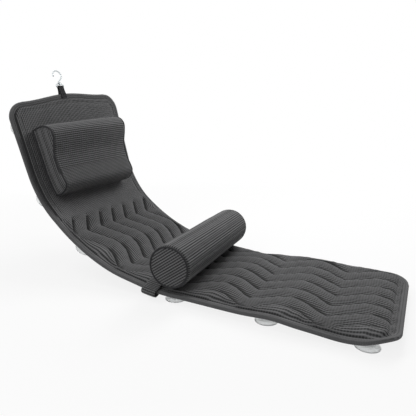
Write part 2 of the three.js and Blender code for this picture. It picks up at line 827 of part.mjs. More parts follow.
function rollStrap() {
  const side = HALF_WIDTH + STRAP_CLEARANCE;
  const foot = TAPE_BOTTOM - STRAP_CLEARANCE;
  const top = CREST_TOP + STRAP_CLEARANCE;
  const edge = TAPE_TOP + STRAP_CLEARANCE;
  const corner = (y, h) => ({ y, h, rise: 0 });
  const riseTo = (y) => ({
    y,
    h: top,
    rise: Math.max(0, underRoll(STRAP_TO, y) - STRAP_THICKNESS - top),
  });
  const path = [
    corner(-side, foot),
    corner(-side, edge),
    corner(-INNER_HALF_WIDTH, top),
    ...STRAP_RISE_SHARES.map((share) => riseTo(share * HALF_WIDTH)),
    corner(INNER_HALF_WIDTH, top),
    corner(side, edge),
    corner(side, foot),
  ];
  const inner = path.map(({ y, h }) => new THREE.Vector2(y, h));
  const outer = inset(inner, -STRAP_THICKNESS);
  const rings = path.map(({ rise }, i) => {
    const across = (point, share) =>
      place(STRAP_TO - STRAP_WIDTH * (1 - share), point.x, point.y + rise * share);
    return [
      across(inner[i], 0),
      across(inner[i], 1 / 2),
      across(inner[i], 1),
      across(outer[i], 1),
      across(outer[i], 1 / 2),
      across(outer[i], 0),
    ];
  });
  return ringGeometry(rings);
}

// The hanging tab's frame: X across the mat, Y up past its top edge and Z out of it. Its origin is on
// the top edge, in the middle of the mat's thickness.
function hangFrame() {
  const half = HALF_WIDTH - HEAD_CORNER_RADIUS;
  const arch = (TOP_ARCH * (1 + Math.cos((Math.PI * HANG_OFFSET) / half))) / 2;
  const { along, across, out } = directions(-arch);
  return new THREE.Matrix4()
    .makeBasis(across, along.clone().negate(), out)
    .setPosition(place(-arch, HANG_OFFSET, (TAPE_TOP + TAPE_BOTTOM) / 2));
}

// The webbing is one loop: down the front of the mat, over the loop's bar, and down the back.
function webbing() {
  const gap = (TAPE_TOP - TAPE_BOTTOM) / 2 + CLEARANCE;
  const round = LOOP_BAR_RADIUS + LOOP_FIT;
  const leg = (offset) => [
    [gap + offset, -WEBBING_OVERLAP],
    [gap + offset, CLEARANCE + offset],
    ...Array.from({ length: WEBBING_ROUND_STEPS + 1 }, (_, i) => {
      const angle = (Math.PI * i) / WEBBING_ROUND_STEPS;
      const radius = round + offset;
      return [radius * Math.cos(angle), WEBBING_RISE + radius * Math.sin(angle)];
    }),
    [-gap - offset, CLEARANCE + offset],
    [-gap - offset, -WEBBING_OVERLAP],
  ];
  const section = [...leg(WEBBING_THICKNESS), ...leg(0).toReversed()].map(
    ([z, y]) => new THREE.Vector2(z, y),
  );
  const ring = (x) => section.map(({ x: z, y }) => new THREE.Vector3(x, y, z));
  return ringGeometry([ring(-WEBBING_WIDTH / 2), ring(WEBBING_WIDTH / 2)], section);
}

const LOOP_HALF_WIDTH = WEBBING_WIDTH / 2 + LOOP_FIT + LOOP_BAR_RADIUS;
const BOSS_FOOT = WEBBING_RISE + BOSS_RISE;
const BOSS_TOP = BOSS_FOOT + BOSS_HEIGHT;

// The clear loop: its bar lies in the webbing, and its boss carries the hook's pin.
function strapLoop() {
  const top = (BOSS_FOOT + BOSS_TOP) / 2;
  const path = [
    [-LOOP_HALF_WIDTH, WEBBING_RISE],
    [LOOP_HALF_WIDTH, WEBBING_RISE],
    [LOOP_HALF_WIDTH, WEBBING_RISE + LOOP_SIDE_HEIGHT],
    [LOOP_TOP_HALF_WIDTH, top],
    [-LOOP_TOP_HALF_WIDTH, top],
    [-LOOP_HALF_WIDTH, WEBBING_RISE + LOOP_SIDE_HEIGHT],
  ].map(([x, y]) => new THREE.Vector3(x, y, 0));
  const normal = new THREE.Vector3(0, 0, 1);
  const ring = ringGeometry(wireRings(path, normal, LOOP_BAR_RADIUS, LOOP_SIDES, true));
  const boss = new THREE.CylinderGeometry(BOSS_RADIUS, BOSS_RADIUS, BOSS_HEIGHT, BOSS_SIDES);
  const bore = PIN_RADIUS + PIN_FIT;
  const hole = new THREE.CylinderGeometry(bore, bore, 2 * BOSS_HEIGHT, BOSS_SIDES);
  const seat = (geometry) => solid(geometry.translate(0, top, 0));
  return fromSolid(solid(ring).add(seat(boss)).subtract(seat(hole)));
}

// The hook: a headed pin that turns in the boss, a collar above it, and the bent wire
function hook() {
  const headTop = BOSS_FOOT - PIN_FIT;
  const collarFoot = BOSS_TOP + PIN_FIT;
  const collarTop = collarFoot + COLLAR_HEIGHT;
  const pin = lathe(
    [
      [0, headTop - PIN_HEAD_HEIGHT],
      [PIN_HEAD_RADIUS, headTop - PIN_HEAD_HEIGHT],
      [PIN_HEAD_RADIUS, headTop],
      [PIN_RADIUS, headTop],
      [PIN_RADIUS, collarFoot],
      [COLLAR_RADIUS, collarFoot],
      [COLLAR_RADIUS, collarTop],
      [0, collarTop],
    ],
    BOSS_SIDES,
  );
  const stem = [
    new THREE.Vector3(0, (collarFoot + collarTop) / 2, 0),
    new THREE.Vector3(0, collarTop + HOOK_STEM, 0),
  ];
  const bend = HOOK_ARC.map(
    (angle) =>
      new THREE.Vector3(
        HOOK_RADIUS * Math.cos(angle),
        WEBBING_RISE + HOOK_RISE + HOOK_RADIUS * Math.sin(angle),
        0,
      ),
  );
  const points = new THREE.CatmullRomCurve3([...stem, ...bend]).getSpacedPoints(HOOK_STEPS);
  const normal = new THREE.Vector3(0, 0, 1);
  const rings = wireRings(points, normal, HOOK_WIRE_RADIUS, HOOK_SIDES, false);
  return fromSolid(solid(pin).add(solid(ringGeometry(rings, roundSection(HOOK_SIDES)))));
}

// The whole part, with its origin under the middle of its box
function group(...children) {
  const made = new THREE.Group();
  made.add(...children);
  return made;
}

function cupsOf(panel) {
  const rows = CUP_ROW_SHARES.map((_, row) => row);
  const own = rows.filter((row) => (panel === BACK) === cupRow(row) < FOLD_AT);
  return own.flatMap((row) => cups(row));
}

const back = group(
  named("back_pad", pad(BACK), fabric(COLOURS.mesh)),
  named("back_backing", backing(BACK), fabric(COLOURS.backing)),
  named("back_binding", binding(BACK), fabric(COLOURS.tape)),
  ...cupsOf(BACK),
  ...STRIP_PLACE_SHARES.map((share, i) =>
    named(`mat_strip_${i + 1}`, strip(share, MAT_STRIP_FOOT), fabric(COLOURS.grip)),
  ),
  named("hanging_webbing", webbing(), fabric(COLOURS.tape), hangFrame()),
);

const seat = group(
  named("seat_pad", pad(SEAT), fabric(COLOURS.quilt)),
  named("seat_backing", backing(SEAT), fabric(COLOURS.backing)),
  named("seat_binding", binding(SEAT), fabric(COLOURS.tape)),
  ...cupsOf(SEAT),
);

const pillow = group(
  named("pillow_core", pillowCore(), fabric(COLOURS.foam)),
  named("pillow_cover", pillowCover(), fabric(COLOURS.mesh)),
  ...Object.entries({ near: -1, far: 1 }).flatMap(([end, side]) => [
    named(`pillow_gusset_${end}`, pillowGusset(side), fabric(COLOURS.mesh)),
    named(`pillow_piping_${end}`, pillowPiping(side), fabric(COLOURS.piping)),
  ]),
  ...STRIP_PLACE_SHARES.map((share, i) =>
    named(`pillow_strip_${i + 1}`, strip(share, PILLOW_STRIP_FOOT), fabric(COLOURS.grip)),
  ),
);

const roll = group(
  named("roll_core", rollCore(), fabric(COLOURS.foam), rollFrame()),
  named("roll_sleeve", rollSleeve(), fabric(COLOURS.mesh), rollFrame()),
  ...Object.entries({ near: -1, far: 1 }).flatMap(([end, side]) => [
    named(`roll_end_${end}`, rollEnd(side), fabric(COLOURS.mesh), rollFrame()),
    named(`roll_piping_${end}`, rollPiping(side), fabric(COLOURS.piping), rollFrame()),
  ]),
  named("roll_strap", rollStrap(), fabric(COLOURS.mesh)),
);

const hanger = group(
  named("strap_loop", strapLoop(), clearPlastic(), hangFrame()),
  named("hook", hook(), clearPlastic(), hangFrame()),
);

const lounger = group(back, seat, pillow, roll, hanger);
lounger.updateMatrixWorld(true);
const box = new THREE.Box3().setFromObject(lounger, true);
const middle = box.getCenter(new THREE.Vector3());
lounger.position.set(-middle.x, -middle.y, -box.min.z);

export default lounger;
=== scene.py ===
import math

import bpy
import numpy as np
from bpy.props import FloatProperty, FloatVectorProperty, IntProperty, PointerProperty
from mathutils import Matrix, Vector, noise


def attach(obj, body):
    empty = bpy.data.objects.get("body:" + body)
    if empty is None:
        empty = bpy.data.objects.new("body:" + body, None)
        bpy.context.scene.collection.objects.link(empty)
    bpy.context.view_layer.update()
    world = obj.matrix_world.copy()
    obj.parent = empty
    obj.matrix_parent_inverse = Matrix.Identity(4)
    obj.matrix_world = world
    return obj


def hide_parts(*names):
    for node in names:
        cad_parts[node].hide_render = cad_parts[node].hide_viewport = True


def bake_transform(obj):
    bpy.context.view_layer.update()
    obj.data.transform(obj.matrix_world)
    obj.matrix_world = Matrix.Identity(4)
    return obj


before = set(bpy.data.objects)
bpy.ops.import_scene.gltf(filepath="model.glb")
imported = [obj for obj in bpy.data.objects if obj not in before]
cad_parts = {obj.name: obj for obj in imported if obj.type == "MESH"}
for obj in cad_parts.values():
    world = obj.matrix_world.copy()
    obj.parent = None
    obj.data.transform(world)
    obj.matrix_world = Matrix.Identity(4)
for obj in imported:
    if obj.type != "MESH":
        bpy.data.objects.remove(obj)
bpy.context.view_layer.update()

bl_info = {
    "name": "Bath lounger mat",
    "version": (1, 0, 0),
    "blender": (4, 5, 0),
    "location": "View3D > Sidebar > Bath mat",
    "description": "Quilted bath mat with a head pillow, a leg roll, suction cups and a hanging hook",
    "category": "Object",
}

# The solids' group is moved by this much, so that its box stands over the origin.
SHIFT = np.array([0.00913284, 0.00122649, 0.0])
# Two maps of the meshes, in metres: the place on the flat cloth, and how far the nearest thread is, which
# sets the seams' dark thread and the painted shade beside them
CLOTH_MAP = "cloth"
SEAM_SHADE_MAP = "shade_from_seam"
# Places where the soft mat's edge stands up or hangs: along, across, reach and height
EDGE_LIFTS = [
    (0.66, -0.2085, 0.05, 0.003), (1.02, -0.2085, 0.045, 0.005), (1.17, -0.2085, 0.05, -0.004),
    (1.276, -0.2085, 0.055, 0.013), (1.276, 0.2085, 0.05, 0.006), (0.86, 0.2085, 0.07, -0.009),
    (1.04, 0.2085, 0.05, 0.004),
]
# A seam's wave is a mix of a smooth one and of a row of arches, which are lowered to swing evenly.
ARCHED_SHARE, ARCH_MIDDLE = 0.6, 1.2
# How far the outermost channels stay off the tape, and a seam off their outer lines
OFF_TAPE, LEAST_CHANNEL = 0.002, 0.003
# From where to where the seams begin to hold, beside the place where they start
SEAM_START = (-0.004, 0.012)


def linear(colour):
    """An sRGB hex colour as the linear colour that Blender takes."""
    parts = [int(colour[i:i + 2], 16) / 255 for i in (1, 3, 5)]
    return tuple(c / 12.92 if c <= 0.04045 else ((c + 0.055) / 1.055) ** 2.4 for c in parts)


def length(name, description, default):
    return FloatProperty(name=name, description=description, default=default, unit="LENGTH",
                         precision=4)


def angle(name, description, degrees):
    return FloatProperty(name=name, description=description, default=math.radians(degrees),
                         subtype="ANGLE")


def colour(name, description, default):
    return FloatVectorProperty(name=name, description=description, default=linear(default),
                               subtype="COLOR", min=0, max=1)


class BathMatSizes(bpy.types.PropertyGroup):
    """The mat's outline, the line that it lies along, and its quilting"""

    length: length("Length", "Along the mat, from the top corners to the foot", 1.276)
    width: length("Width", "Across the mat", 0.417)
    head_corner: length("Head corner", "Radius of the two corners at the head", 0.052)
    foot_corner: length("Foot corner", "Radius of the two corners at the foot", 0.076)
    top_arch: length("Top arch", "How far the top edge rises in its middle", 0.0126)
    head_straight: length("Straight head", "Length of the straight part at the head", 0.218)
    back_radius: length("Back radius", "Radius of the bend in the back", 0.277)
    seat_radius: length("Seat radius", "Radius of the long bend in the seat", 0.548)
    head_slope: angle("Head slope", "How steeply the head part stands", 72.2)
    waist_slope: angle("Waist slope", "How steeply the mat rises at the waist", 41)
    head_twist: angle("Head twist", "How far the head part is turned about the mat's line", 5.3)
    head_skew: length("Head skew", "How far the near side of the head part slides down", 0.0166)
    cup_height: length("Height over the floor", "Height of the suction cups under the mat", 0.018)
    base: length("Pad base", "Height of the pad's underside over the backing's", 0.0015)
    edge_top: length("Edge top", "Height of the pad where the tape holds it", 0.0068)
    plain_top: length("Plain top", "Height of the plain part of the pad", 0.012)
    seam_top: length("Seam top", "Height of the pad at its seams", 0.0042)
    crest_top: length("Crest top", "Height of the pad between its seams", 0.018)
    quilt_from: length("Quilting from", "Where the seams start, along the mat", 0.374)
    quilt_to: length("Quilting to", "Where the seams end, along the mat", 1.252)
    seam_count: IntProperty(name="Seams", description="Number of wavy seams", default=7, min=1, max=15)
    seam_pitch: length("Seam pitch", "Distance between two seams", 0.055)
    seam_offset: length("Seam offset", "How far the seams lie to the far side", -0.004)
    wave_length: length("Wave length", "Length of one wave of a seam", 0.173)
    wave_height: length("Wave height", "How far a seam swings to each side", 0.026)
    wave_start: FloatProperty(name="Wave start", description="Share of a wave at the start of the seams",
                              default=0.389)
    tape_width: length("Tape width", "Width of the edge tape on each face", 0.014)
    tape_thickness: length("Tape thickness", "Thickness of the edge tape", 0.0012)
    tape_top: length("Tape top", "Height of the edge tape's upper face", 0.0082)
    tape_bottom: length("Tape bottom", "Height of the edge tape's lower face", -0.0015)
    rib_pitch: length("Rib pitch", "Distance between two ribs of the knitted mesh", 0.0052)


class BathCupSizes(bpy.types.PropertyGroup):
    """The suction cups under the mat"""

    rows: FloatVectorProperty(name="Rows", size=6, min=0, max=1,
                              description="Where the rows lie, as shares of the mat's length",
                              default=(0.0565, 0.224, 0.3685, 0.602, 0.787, 0.953))
    radius: length("Radius", "Radius of a cup's rim", 0.026)
    side_margin: length("Side margin", "From the mat's side to the outer cups", 0.035)


class BathPillowSizes(bpy.types.PropertyGroup):
    """The contoured head pillow"""

    top_at: length("Top at", "Where the pillow's top is, along the mat", 0.089)
    height: length("Height", "Length of the pillow along the mat", 0.214)
    width: length("Width", "Across the mat", 0.292)
    offset: length("Offset", "How far the pillow lies to the far side", -0.016)
    thickness: length("Thickness", "How far its upper swell stands out", 0.08)
    crown: length("Crown", "How much fuller its middle is than its ends", 0.004)
    foot: length("Foot", "Height of the pillow's back over the mat's underside", 0.01605)
    piping: length("Piping radius", "Radius of the piping round its ends", 0.0023)
    rib_pitch: length("Rib pitch", "Distance between two ribs of its cover", 0.006)
    rib_depth: length("Rib depth", "Depth of the grooves between the ribs", 0.0015)
    strip_length: length("Strip length", "Length of the hook-and-loop strips", 0.22)
    strip_width: length("Strip width", "Width of the hook-and-loop strips", 0.025)


class BathRollSizes(bpy.types.PropertyGroup):
    """The leg roll and the strap that holds it"""

    at: length("Place", "Where the roll lies, along the mat", 0.7585)
    offset: length("Offset", "How far the roll lies to the far side", -0.0095)
    radius: length("Radius", "Radius of the roll", 0.055)
    length: length("Length", "Length of the roll", 0.4)
    yaw: angle("Yaw", "How far the roll is turned towards the head at its far end", 3)
    tilt: angle("Tilt", "How far its far end is up", 0.7)
    gap: length("Gap", "From the mat's crests to the roll", 0.00075)
    ribs: IntProperty(name="Ribs", description="Ribs round the roll's cover", default=46, min=8, max=90)
    rib_depth: length("Rib depth", "Depth of the grooves between the ribs", 0.0016)
    ring_inset: length("Ring inset", "How far the piping lies inside the cover's radius", 0.0026)
    strap_width: length("Strap width", "Width of the strap", 0.04)
    strap_foot_end: length("Strap end", "Where the strap's foot edge lies, along the mat", 0.73815)
    strap_thickness: length("Strap thickness", "Thickness of the strap", 0.0016)


class BathHangerSizes(bpy.types.PropertyGroup):
    """The hanging tab, its loop and the hook"""

    offset: length("Offset", "From the mat's middle line to the tab", -0.008)
    height: length("Height", "Height of the loop's bar out of the mat's underside", 0.004)
    web_width: length("Webbing width", "Width of the webbing", 0.02)
    web_thickness: length("Webbing thickness", "Thickness of the webbing", 0.0012)
    web_rise: length("Webbing rise", "From the mat's top edge to the loop's bar", 0.023)
    web_overlap: length("Webbing overlap", "How far the webbing lies on the mat", 0.015)
    bar_radius: length("Bar radius", "Radius of the loop's bar", 0.002)
    hook_radius: length("Hook radius", "Radius of the hook's bend", 0.0147)
    wire_radius: length("Wire radius", "Radius of the hook's wire", 0.0023)
    hook_rise: length("Hook rise", "From the loop's bar to the middle of the hook's bend", 0.035)


class BathColours(bpy.types.PropertyGroup):
    """The colours of the cloth and the plastic"""

    quilt: colour("Quilt", "Knitted spacer mesh of the mat", "#5d5d5e")
    cover: colour("Cover", "Knitted spacer mesh of the pillow and the roll", "#5c5c5d")
    tape: colour("Tape", "Edge tape of the mat", "#555556")
    piping: colour("Piping", "Piping of the pillow and the roll", "#2e2e30")
    backing: colour("Backing", "Cloth of the mat's underside", "#47474a")
    grip: colour("Grip", "Hook-and-loop strips", "#262628")
    webbing: colour("Webbing", "Webbing of the hanging tab", "#1a1a1c")
    clear: colour("Clear vinyl", "Suction cups", "#f4f6f6")
    fitting: colour("Clear plastic", "Loop and hook", "#c4cacc")
    floor: colour("Floor", "Floor and backdrop", "#f4f4f4")


GROUPS = {
    "bath_mat": BathMatSizes,
    "bath_cups": BathCupSizes,
    "bath_pillow": BathPillowSizes,
    "bath_roll": BathRollSizes,
    "bath_hanger": BathHangerSizes,
    "bath_colours": BathColours,
}


# Where things lie


class MatSurface:
    """Gives a place on the mat: s along it from the top corners, y across it, h out of its underside."""

    def __init__(self, size):
        self.size = size
        self.half = size.width / 2
        self.waist_at = size.head_straight + size.back_radius * (size.head_slope - size.waist_slope)
        self.flat_from = self.waist_at + size.seat_radius * size.waist_slope

    def spine(self, s):
        """The mat's middle line: how far along the floor, how high and how steep it is at s."""
        size = self.size
        on_seat = np.clip(self.flat_from - s, 0, self.flat_from - self.waist_at)
        on_back = np.clip(self.waist_at - s, 0, self.waist_at - size.head_straight)
        above = np.clip(size.head_straight - s, 0, None)
        seat = on_seat / size.seat_radius
        slope = seat + on_back / size.back_radius
        x = -size.seat_radius * np.sin(seat) - size.back_radius * (np.sin(slope) - np.sin(seat))
        z = size.seat_radius * (1 - np.cos(seat)) + size.back_radius * (np.cos(seat) - np.cos(slope))
        x = x - above * np.cos(slope) + np.clip(s - self.flat_from, 0, None)
        return x, z + above * np.sin(slope) + size.cup_height, slope

    def directions(self, s):
        """Along the mat to the foot, across it, and out of it."""
        slope = self.spine(s)[2]
        turn = self.size.head_twist * self.back_share(s)
        none, one = np.zeros_like(slope), np.ones_like(slope)
        along = np.stack([np.cos(slope), none, -np.sin(slope)], -1)
        side = np.stack([none, one, none], -1)
        up = np.stack([np.sin(slope), none, np.cos(slope)], -1)
        c, k = np.cos(turn)[..., None], np.sin(turn)[..., None]
        return along, side * c + up * k, up * c - side * k

    def back_share(self, s):
        """0 from the waist on, and growing to 1 at the head."""
        return np.clip((self.size.quilt_from - s) / self.size.quilt_from, 0, None)

    def place(self, s, y, h, lifted=True):
        """Points in space for places on the mat. They follow its slack edge, unless not lifted."""
        s, y, h = np.broadcast_arrays(*(np.asarray(v, float) for v in (s, y, h)))
        h = h + self.lift(s, y) * lifted
        x, z, _ = self.spine(s)
        along, across, out = self.directions(s)
        skew = -self.size.head_skew * self.back_share(s) * y / self.half
        middle = np.stack([x, np.zeros_like(x), z], -1) + SHIFT
        return middle + across * y[..., None] + out * h[..., None] + along * skew[..., None]

    def lift(self, s, y):
        """How far the mat is off its even surface."""
        total = np.zeros_like(s)
        for at, side, reach, height in EDGE_LIFTS:
            total = total + height * np.exp(-((s - at) ** 2 + (y - side) ** 2) / reach**2)
        return total

    def frame_at(self, s, y, step=0.001):
        """A matrix on the mat's underside for a rigid piece, with Z straight out of the even surface."""
        along = self.place(s + step, y, 0, False) - self.place(s - step, y, 0, False)
        across = self.place(s, y + step, 0, False) - self.place(s, y - step, 0, False)
        out = Vector(np.cross(along, across)).normalized()
        along = Vector(along).normalized()
        raised = max(0.0, float(self.lift(np.float64(s), y)))
        return axes_matrix(along, out.cross(along), out, self.place(s, y, raised, False))

    def arch(self, y):
        """How far the top edge rises past the corners at y."""
        half = self.half - self.size.head_corner
        inside = np.clip(np.abs(y) / half, 0, 1)
        return self.size.top_arch * (1 + np.cos(math.pi * inside)) / 2

    def half_at(self, s):
        """Half of the mat's width at s, which shrinks in its corners."""
        size = self.size
        head = np.clip(size.head_corner - s, 0, size.head_corner)
        foot = np.clip(s - size.length + size.foot_corner, 0, size.foot_corner)
        cut_head = size.head_corner - np.sqrt(size.head_corner**2 - head**2)
        cut_foot = size.foot_corner - np.sqrt(size.foot_corner**2 - foot**2)
        return self.half - cut_head - cut_foot

    def wave(self, s):
        """How far the seams swing to the side at s. Their near turns are sharp and their far ones round."""
        share = self.wave_share(s)
        smooth = -np.cos(2 * math.pi * share)
        arched = 2 * np.sin(math.pi * share) - ARCH_MIDDLE
        return self.size.wave_height * ((1 - ARCHED_SHARE) * smooth + ARCHED_SHARE * arched)

    def wave_share(self, s):
        """From 0 at a near turn of the seams to 1 at the next."""
        size = self.size
        return ((s - size.quilt_from) / size.wave_length + size.wave_start + 0.25) % 1

    def seams(self, s):
        """The lines between the channels at s, from the near tape to the far one."""
        size = self.size
        groove = self.half - size.tape_width - OFF_TAPE
        inner = groove - LEAST_CHANNEL
        count = size.seam_count
        lines = [np.full_like(s, -groove)]
        for k in range(count):
            middle = size.seam_offset + (k - (count - 1) / 2) * size.seam_pitch
            lines.append(np.clip(middle + self.wave(s), -inner, inner))
        return np.stack([*lines, np.full_like(s, groove)])

    def sewn(self, s):
        """0 on the plain head part, and 1 where the seams hold the mat."""
        return ramp(s - self.size.quilt_from, *SEAM_START)

    def edge_distance(self, s, y):
        """How far inside the outline a place is."""
        size = self.size
        distances = []
        for from_end, corner in ((s + self.arch(y), size.head_corner),
                                 (size.length - s, size.foot_corner)):
            side = np.abs(y) - (self.half - corner)
            end = corner - from_end
            inside = np.minimum(self.half - np.abs(y), from_end)
            in_corner = (side > 0) & (end > 0)
            distances.append(np.where(in_corner, corner - np.hypot(side, end), inside))
        return np.minimum(*distances)


def axes_matrix(x, y, z, origin):
    made = Matrix((x, y, z)).transposed().to_4x4()
    made.translation = Vector(origin)
    return made


def ramp(value, low, high):
    """0 below low and 1 above high, with a smooth step between them."""
    t = np.clip((value - low) / (high - low), 0, 1)
    return t * t * (3 - 2 * t)


def rib(distance, pitch, sharpness=0.6):
    """A row of round ribs: 1 on a rib's top and 0 in a groove."""
    return np.abs(np.sin(math.pi * distance / pitch)) ** sharpness


def waver(points, pitch, seed=0.0):
    """A smooth noise from -1 to 1 at each point, with about one swing to a pitch."""
    flat = np.asarray(points, float).reshape(-1, 3) / pitch + seed
    return np.array([noise.noise(p) for p in flat.tolist()]).reshape(np.shape(points)[:-1])


# Lines and meshes


def beside(*values):
    """Numbers side by side in a last axis, each spread to the shape that they share."""
    return np.stack(np.broadcast_arrays(*values), -1)


def unit(vectors):
    return vectors / np.linalg.norm(vectors, axis=-1, keepdims=True)


def full_turn(sides):
    """Evenly spaced angles, once round."""
    return np.arange(sides) * 2 * math.pi / sides


def way_along(points):
    """How far along a line each of its points is."""
    return np.concatenate([[0], np.cumsum(np.linalg.norm(np.diff(points, axis=0), axis=1))])


def offset_line(line, distance):
    """An open line in a plane moved to its right by a distance at each point."""
    ahead = unit(np.gradient(line, axis=0))
    return line + beside(ahead[:, 1], -ahead[:, 0]) * np.reshape(distance, (-1, 1))


def inset_line(line, distance):
    """A closed line in a plane moved to its inside by a distance at each point."""
    after = np.roll(line, -1, 0)
    ahead = unit(after - np.roll(line, 1, 0))
    sense = np.sign(np.sum(line[:, 0] * after[:, 1] - line[:, 1] * after[:, 0]))
    return line + beside(-ahead[:, 1], ahead[:, 0]) * sense * np.reshape(distance, (-1, 1))


def smooth_line(points, count, closed=False, fineness=24):
    """Evenly spaced points on a smooth line through the given ones."""
    p = np.asarray(points, float)
    before, after = (p[-1:], p[:2]) if closed else (p[:1], p[-1:])
    padded = np.concatenate([before, p, after])
    t = np.linspace(0, 1, fineness, endpoint=False)[:, None]
    fine = []
    for a, b, c, d in zip(padded, padded[1:], padded[2:], padded[3:]):
        fine.append(0.5 * (2 * b + (c - a) * t + (2 * a - 5 * b + 4 * c - d) * t**2
                           + (3 * b - a - 3 * c + d) * t**3))
    fine = np.concatenate([*fine, padded[-2:-1]])
    way = way_along(fine)
    at = np.linspace(0, way[-1], count, endpoint=not closed)
    return np.stack([np.interp(at, way, column) for column in fine.T], -1)


def moved(points, matrix):
    """Points through a matrix."""
    m = np.array(matrix)
    return np.asarray(points, float) @ m[:3, :3].T + m[:3, 3]


def grid_faces(rows, columns, start=0, wrap_rows=False, wrap_columns=False):
    """The faces of a grid of corners, numbered row by row."""
    i = np.arange(rows if wrap_rows else rows - 1)
    j = np.arange(columns if wrap_columns else columns - 1)
    i, j = (v.ravel() for v in np.meshgrid(i, j, indexing="ij"))
    i2, j2 = (i + 1) % rows, (j + 1) % columns
    quads = beside(i * columns + j, i2 * columns + j, i2 * columns + j2, i * columns + j2)
    return (quads + start).tolist()


def looped(rings):
    """The faces of rings that close both along themselves and from the last to the first."""
    return grid_faces(*rings.shape[:2], wrap_rows=True, wrap_columns=True)


def capped(rings):
    """The corners and faces of rings joined one to the next, with a point in the middle of each end."""
    count, sides = rings.shape[:2]
    points = np.concatenate([rings.reshape(-1, 3), rings[:1].mean(1), rings[-1:].mean(1)])
    faces = grid_faces(count, sides, wrap_columns=True)
    first, last = count * sides, count * sides + 1
    for k in range(sides):
        n = (k + 1) % sides
        faces.append([first, k, n])
        faces.append([last, (count - 1) * sides + n, (count - 1) * sides + k])
    return points, faces


def turned(profile, sides):
    """The corners and faces of a body turned about Z. Its profile is radii and heights from end to end."""
    turn = full_turn(sides)
    return capped(np.array([beside(r * np.cos(turn), r * np.sin(turn), z) for r, z in profile]))


def tube(points, radius, sides, normal, closed=False):
    """The rings of a round wire along points, which lie in a plane square to the normal."""
    p = np.asarray(points, float)
    ahead = np.roll(p, -1, 0) - np.roll(p, 1, 0)
    if not closed:
        ahead[0], ahead[-1] = p[1] - p[0], p[-1] - p[-2]
    over = np.broadcast_to(np.asarray(normal, float), p.shape)
    side = unit(np.cross(unit(ahead), over))
    turn = full_turn(sides)[:, None]
    radii = np.broadcast_to(np.asarray(radius, float), len(p))[:, None, None]
    return p[:, None] + radii * (side[:, None] * np.cos(turn) + over[:, None] * np.sin(turn))


def add_piece(name, points, faces, material=None, cloth=None):
    """A mesh object from corners and faces. cloth gives each corner's place on its flat cloth."""
    mesh = bpy.data.meshes.new(name)
    mesh.from_pydata(np.reshape(points, (-1, 3)).tolist(), [], faces, shade_flat=False)
    mesh.validate()
    if cloth is not None:
        add_map(mesh, CLOTH_MAP, cloth)
    if material:
        mesh.materials.append(material)
    piece = bpy.data.objects.new(name, mesh)
    bpy.context.scene.collection.objects.link(piece)
    return piece


def add_map(mesh, name, values):
    """Two numbers in metres for each corner of a mesh, which its material reads."""
    corners = np.empty(len(mesh.loops), int)
    mesh.loops.foreach_get("vertex_index", corners)
    flat = np.reshape(values, (-1, 2))[corners]
    mesh.uv_layers.new(name=name).data.foreach_set("uv", flat.ravel())


def add_slab(name, top, bottom, material, cloth):
    """A closed piece between two grids of equal size, with the same places on its cloth on both."""
    rows, columns = top.shape[:2]
    count = rows * columns
    faces = grid_faces(rows, columns) + [f[::-1] for f in grid_faces(rows, columns, count)]
    number = np.arange(count).reshape(rows, columns)
    rim = np.concatenate([number[0, :-1], number[:-1, -1], number[-1, :0:-1], number[:0:-1, 0]])
    after = np.roll(rim, -1)
    faces += beside(rim, after, after + count, rim + count).tolist()
    points = np.concatenate([top.reshape(-1, 3), bottom.reshape(-1, 3)])
    return add_piece(name, points, faces, material, both_faces(cloth))


def both_faces(values):
    return np.tile(np.reshape(values, (-1, 2)), (2, 1))


def add_cover(name, rings, around, along, material):
    """A closed cover from rings. around and along are the places on its flat cloth."""
    points, faces = capped(rings)
    cloth = beside(around, along[:, None]).reshape(-1, 2)
    ends = [[0, along[0]], [0, along[-1]]]
    return add_piece(name, points, faces, material, np.concatenate([cloth, ends]))


def outward(piece):
    """Turns a closed piece's faces to the outside."""
    mesh = piece.data
    mesh.calc_loop_triangles()
    co = np.array([v.co for v in mesh.vertices])
    a, b, c = co[np.array([t.vertices for t in mesh.loop_triangles])].swapaxes(0, 1)
    if np.einsum("ij,ij->", a, np.cross(b, c)) < 0:
        mesh.flip_normals()
    return piece


# Materials

# A wave texture of this scale has one band to each metre of the cloth.
BAND = math.pi / 10
# How far apart the threads of each cloth lie
TAPE_CORD, TAPE_STITCH, PIPING_THREAD, BACKING_ROW = 0.003, 0.006, 0.002, 0.003
WEB_CORD, WEB_SLANT = 0.0022, 0.0016
# How many patches of lint, nap, grain or a mould's flow there are to a metre: one each 36, 25, 4, 1.7,
# 17 and 11 mm
MESH_LINT, TAPE_LINT, BACKING_NAP, PAPER_GRAIN, VINYL_FLOW, HARD_FLOW = 28.0, 40.0, 260.0, 600.0, 60.0, 90.0
# From the middle of the tape's two rows of stitches to each, half of a row's width, and to the turned rim
ROW_OFF, ROW_HALF, RIM_OFF = 0.003, 0.001, 0.006
# Where the floor turns as light as the backdrop, and how light it is before
PAPER_FADE, PAPER_NEAR = (0.5, 1.6), 0.84


def add_node(tree, kind, *values, out=0, at=None, **named):
    """A node, of which it gives one output. Values go to its inputs in order, and those in at by their
    numbers. A name with a capital is an input's, with _ for a space, and any other is a setting's."""
    node = tree.nodes.new("ShaderNode" + kind)
    inputs = {**dict(enumerate(values)), **(at or {})}
    for name, value in named.items():
        if name[0].isupper():
            inputs[name.replace("_", " ")] = value
        else:
            setattr(node, name, value)
    for key, value in inputs.items():
        if isinstance(value, bpy.types.NodeSocket):
            tree.links.new(value, node.inputs[key])
        else:
            node.inputs[key].default_value = value
    return node.outputs[out] if node.outputs else None


def new_material(name):
    """An empty material and its node tree."""
    material = bpy.data.materials.new(name)
    material.use_nodes = True
    material.node_tree.nodes.clear()
    return material, material.node_tree


def new_cloth(name):
    """An empty material, its node tree and the place on the flat cloth."""
    material, tree = new_material(name)
    return material, tree, add_node(tree, "UVMap", uv_map=CLOTH_MAP)


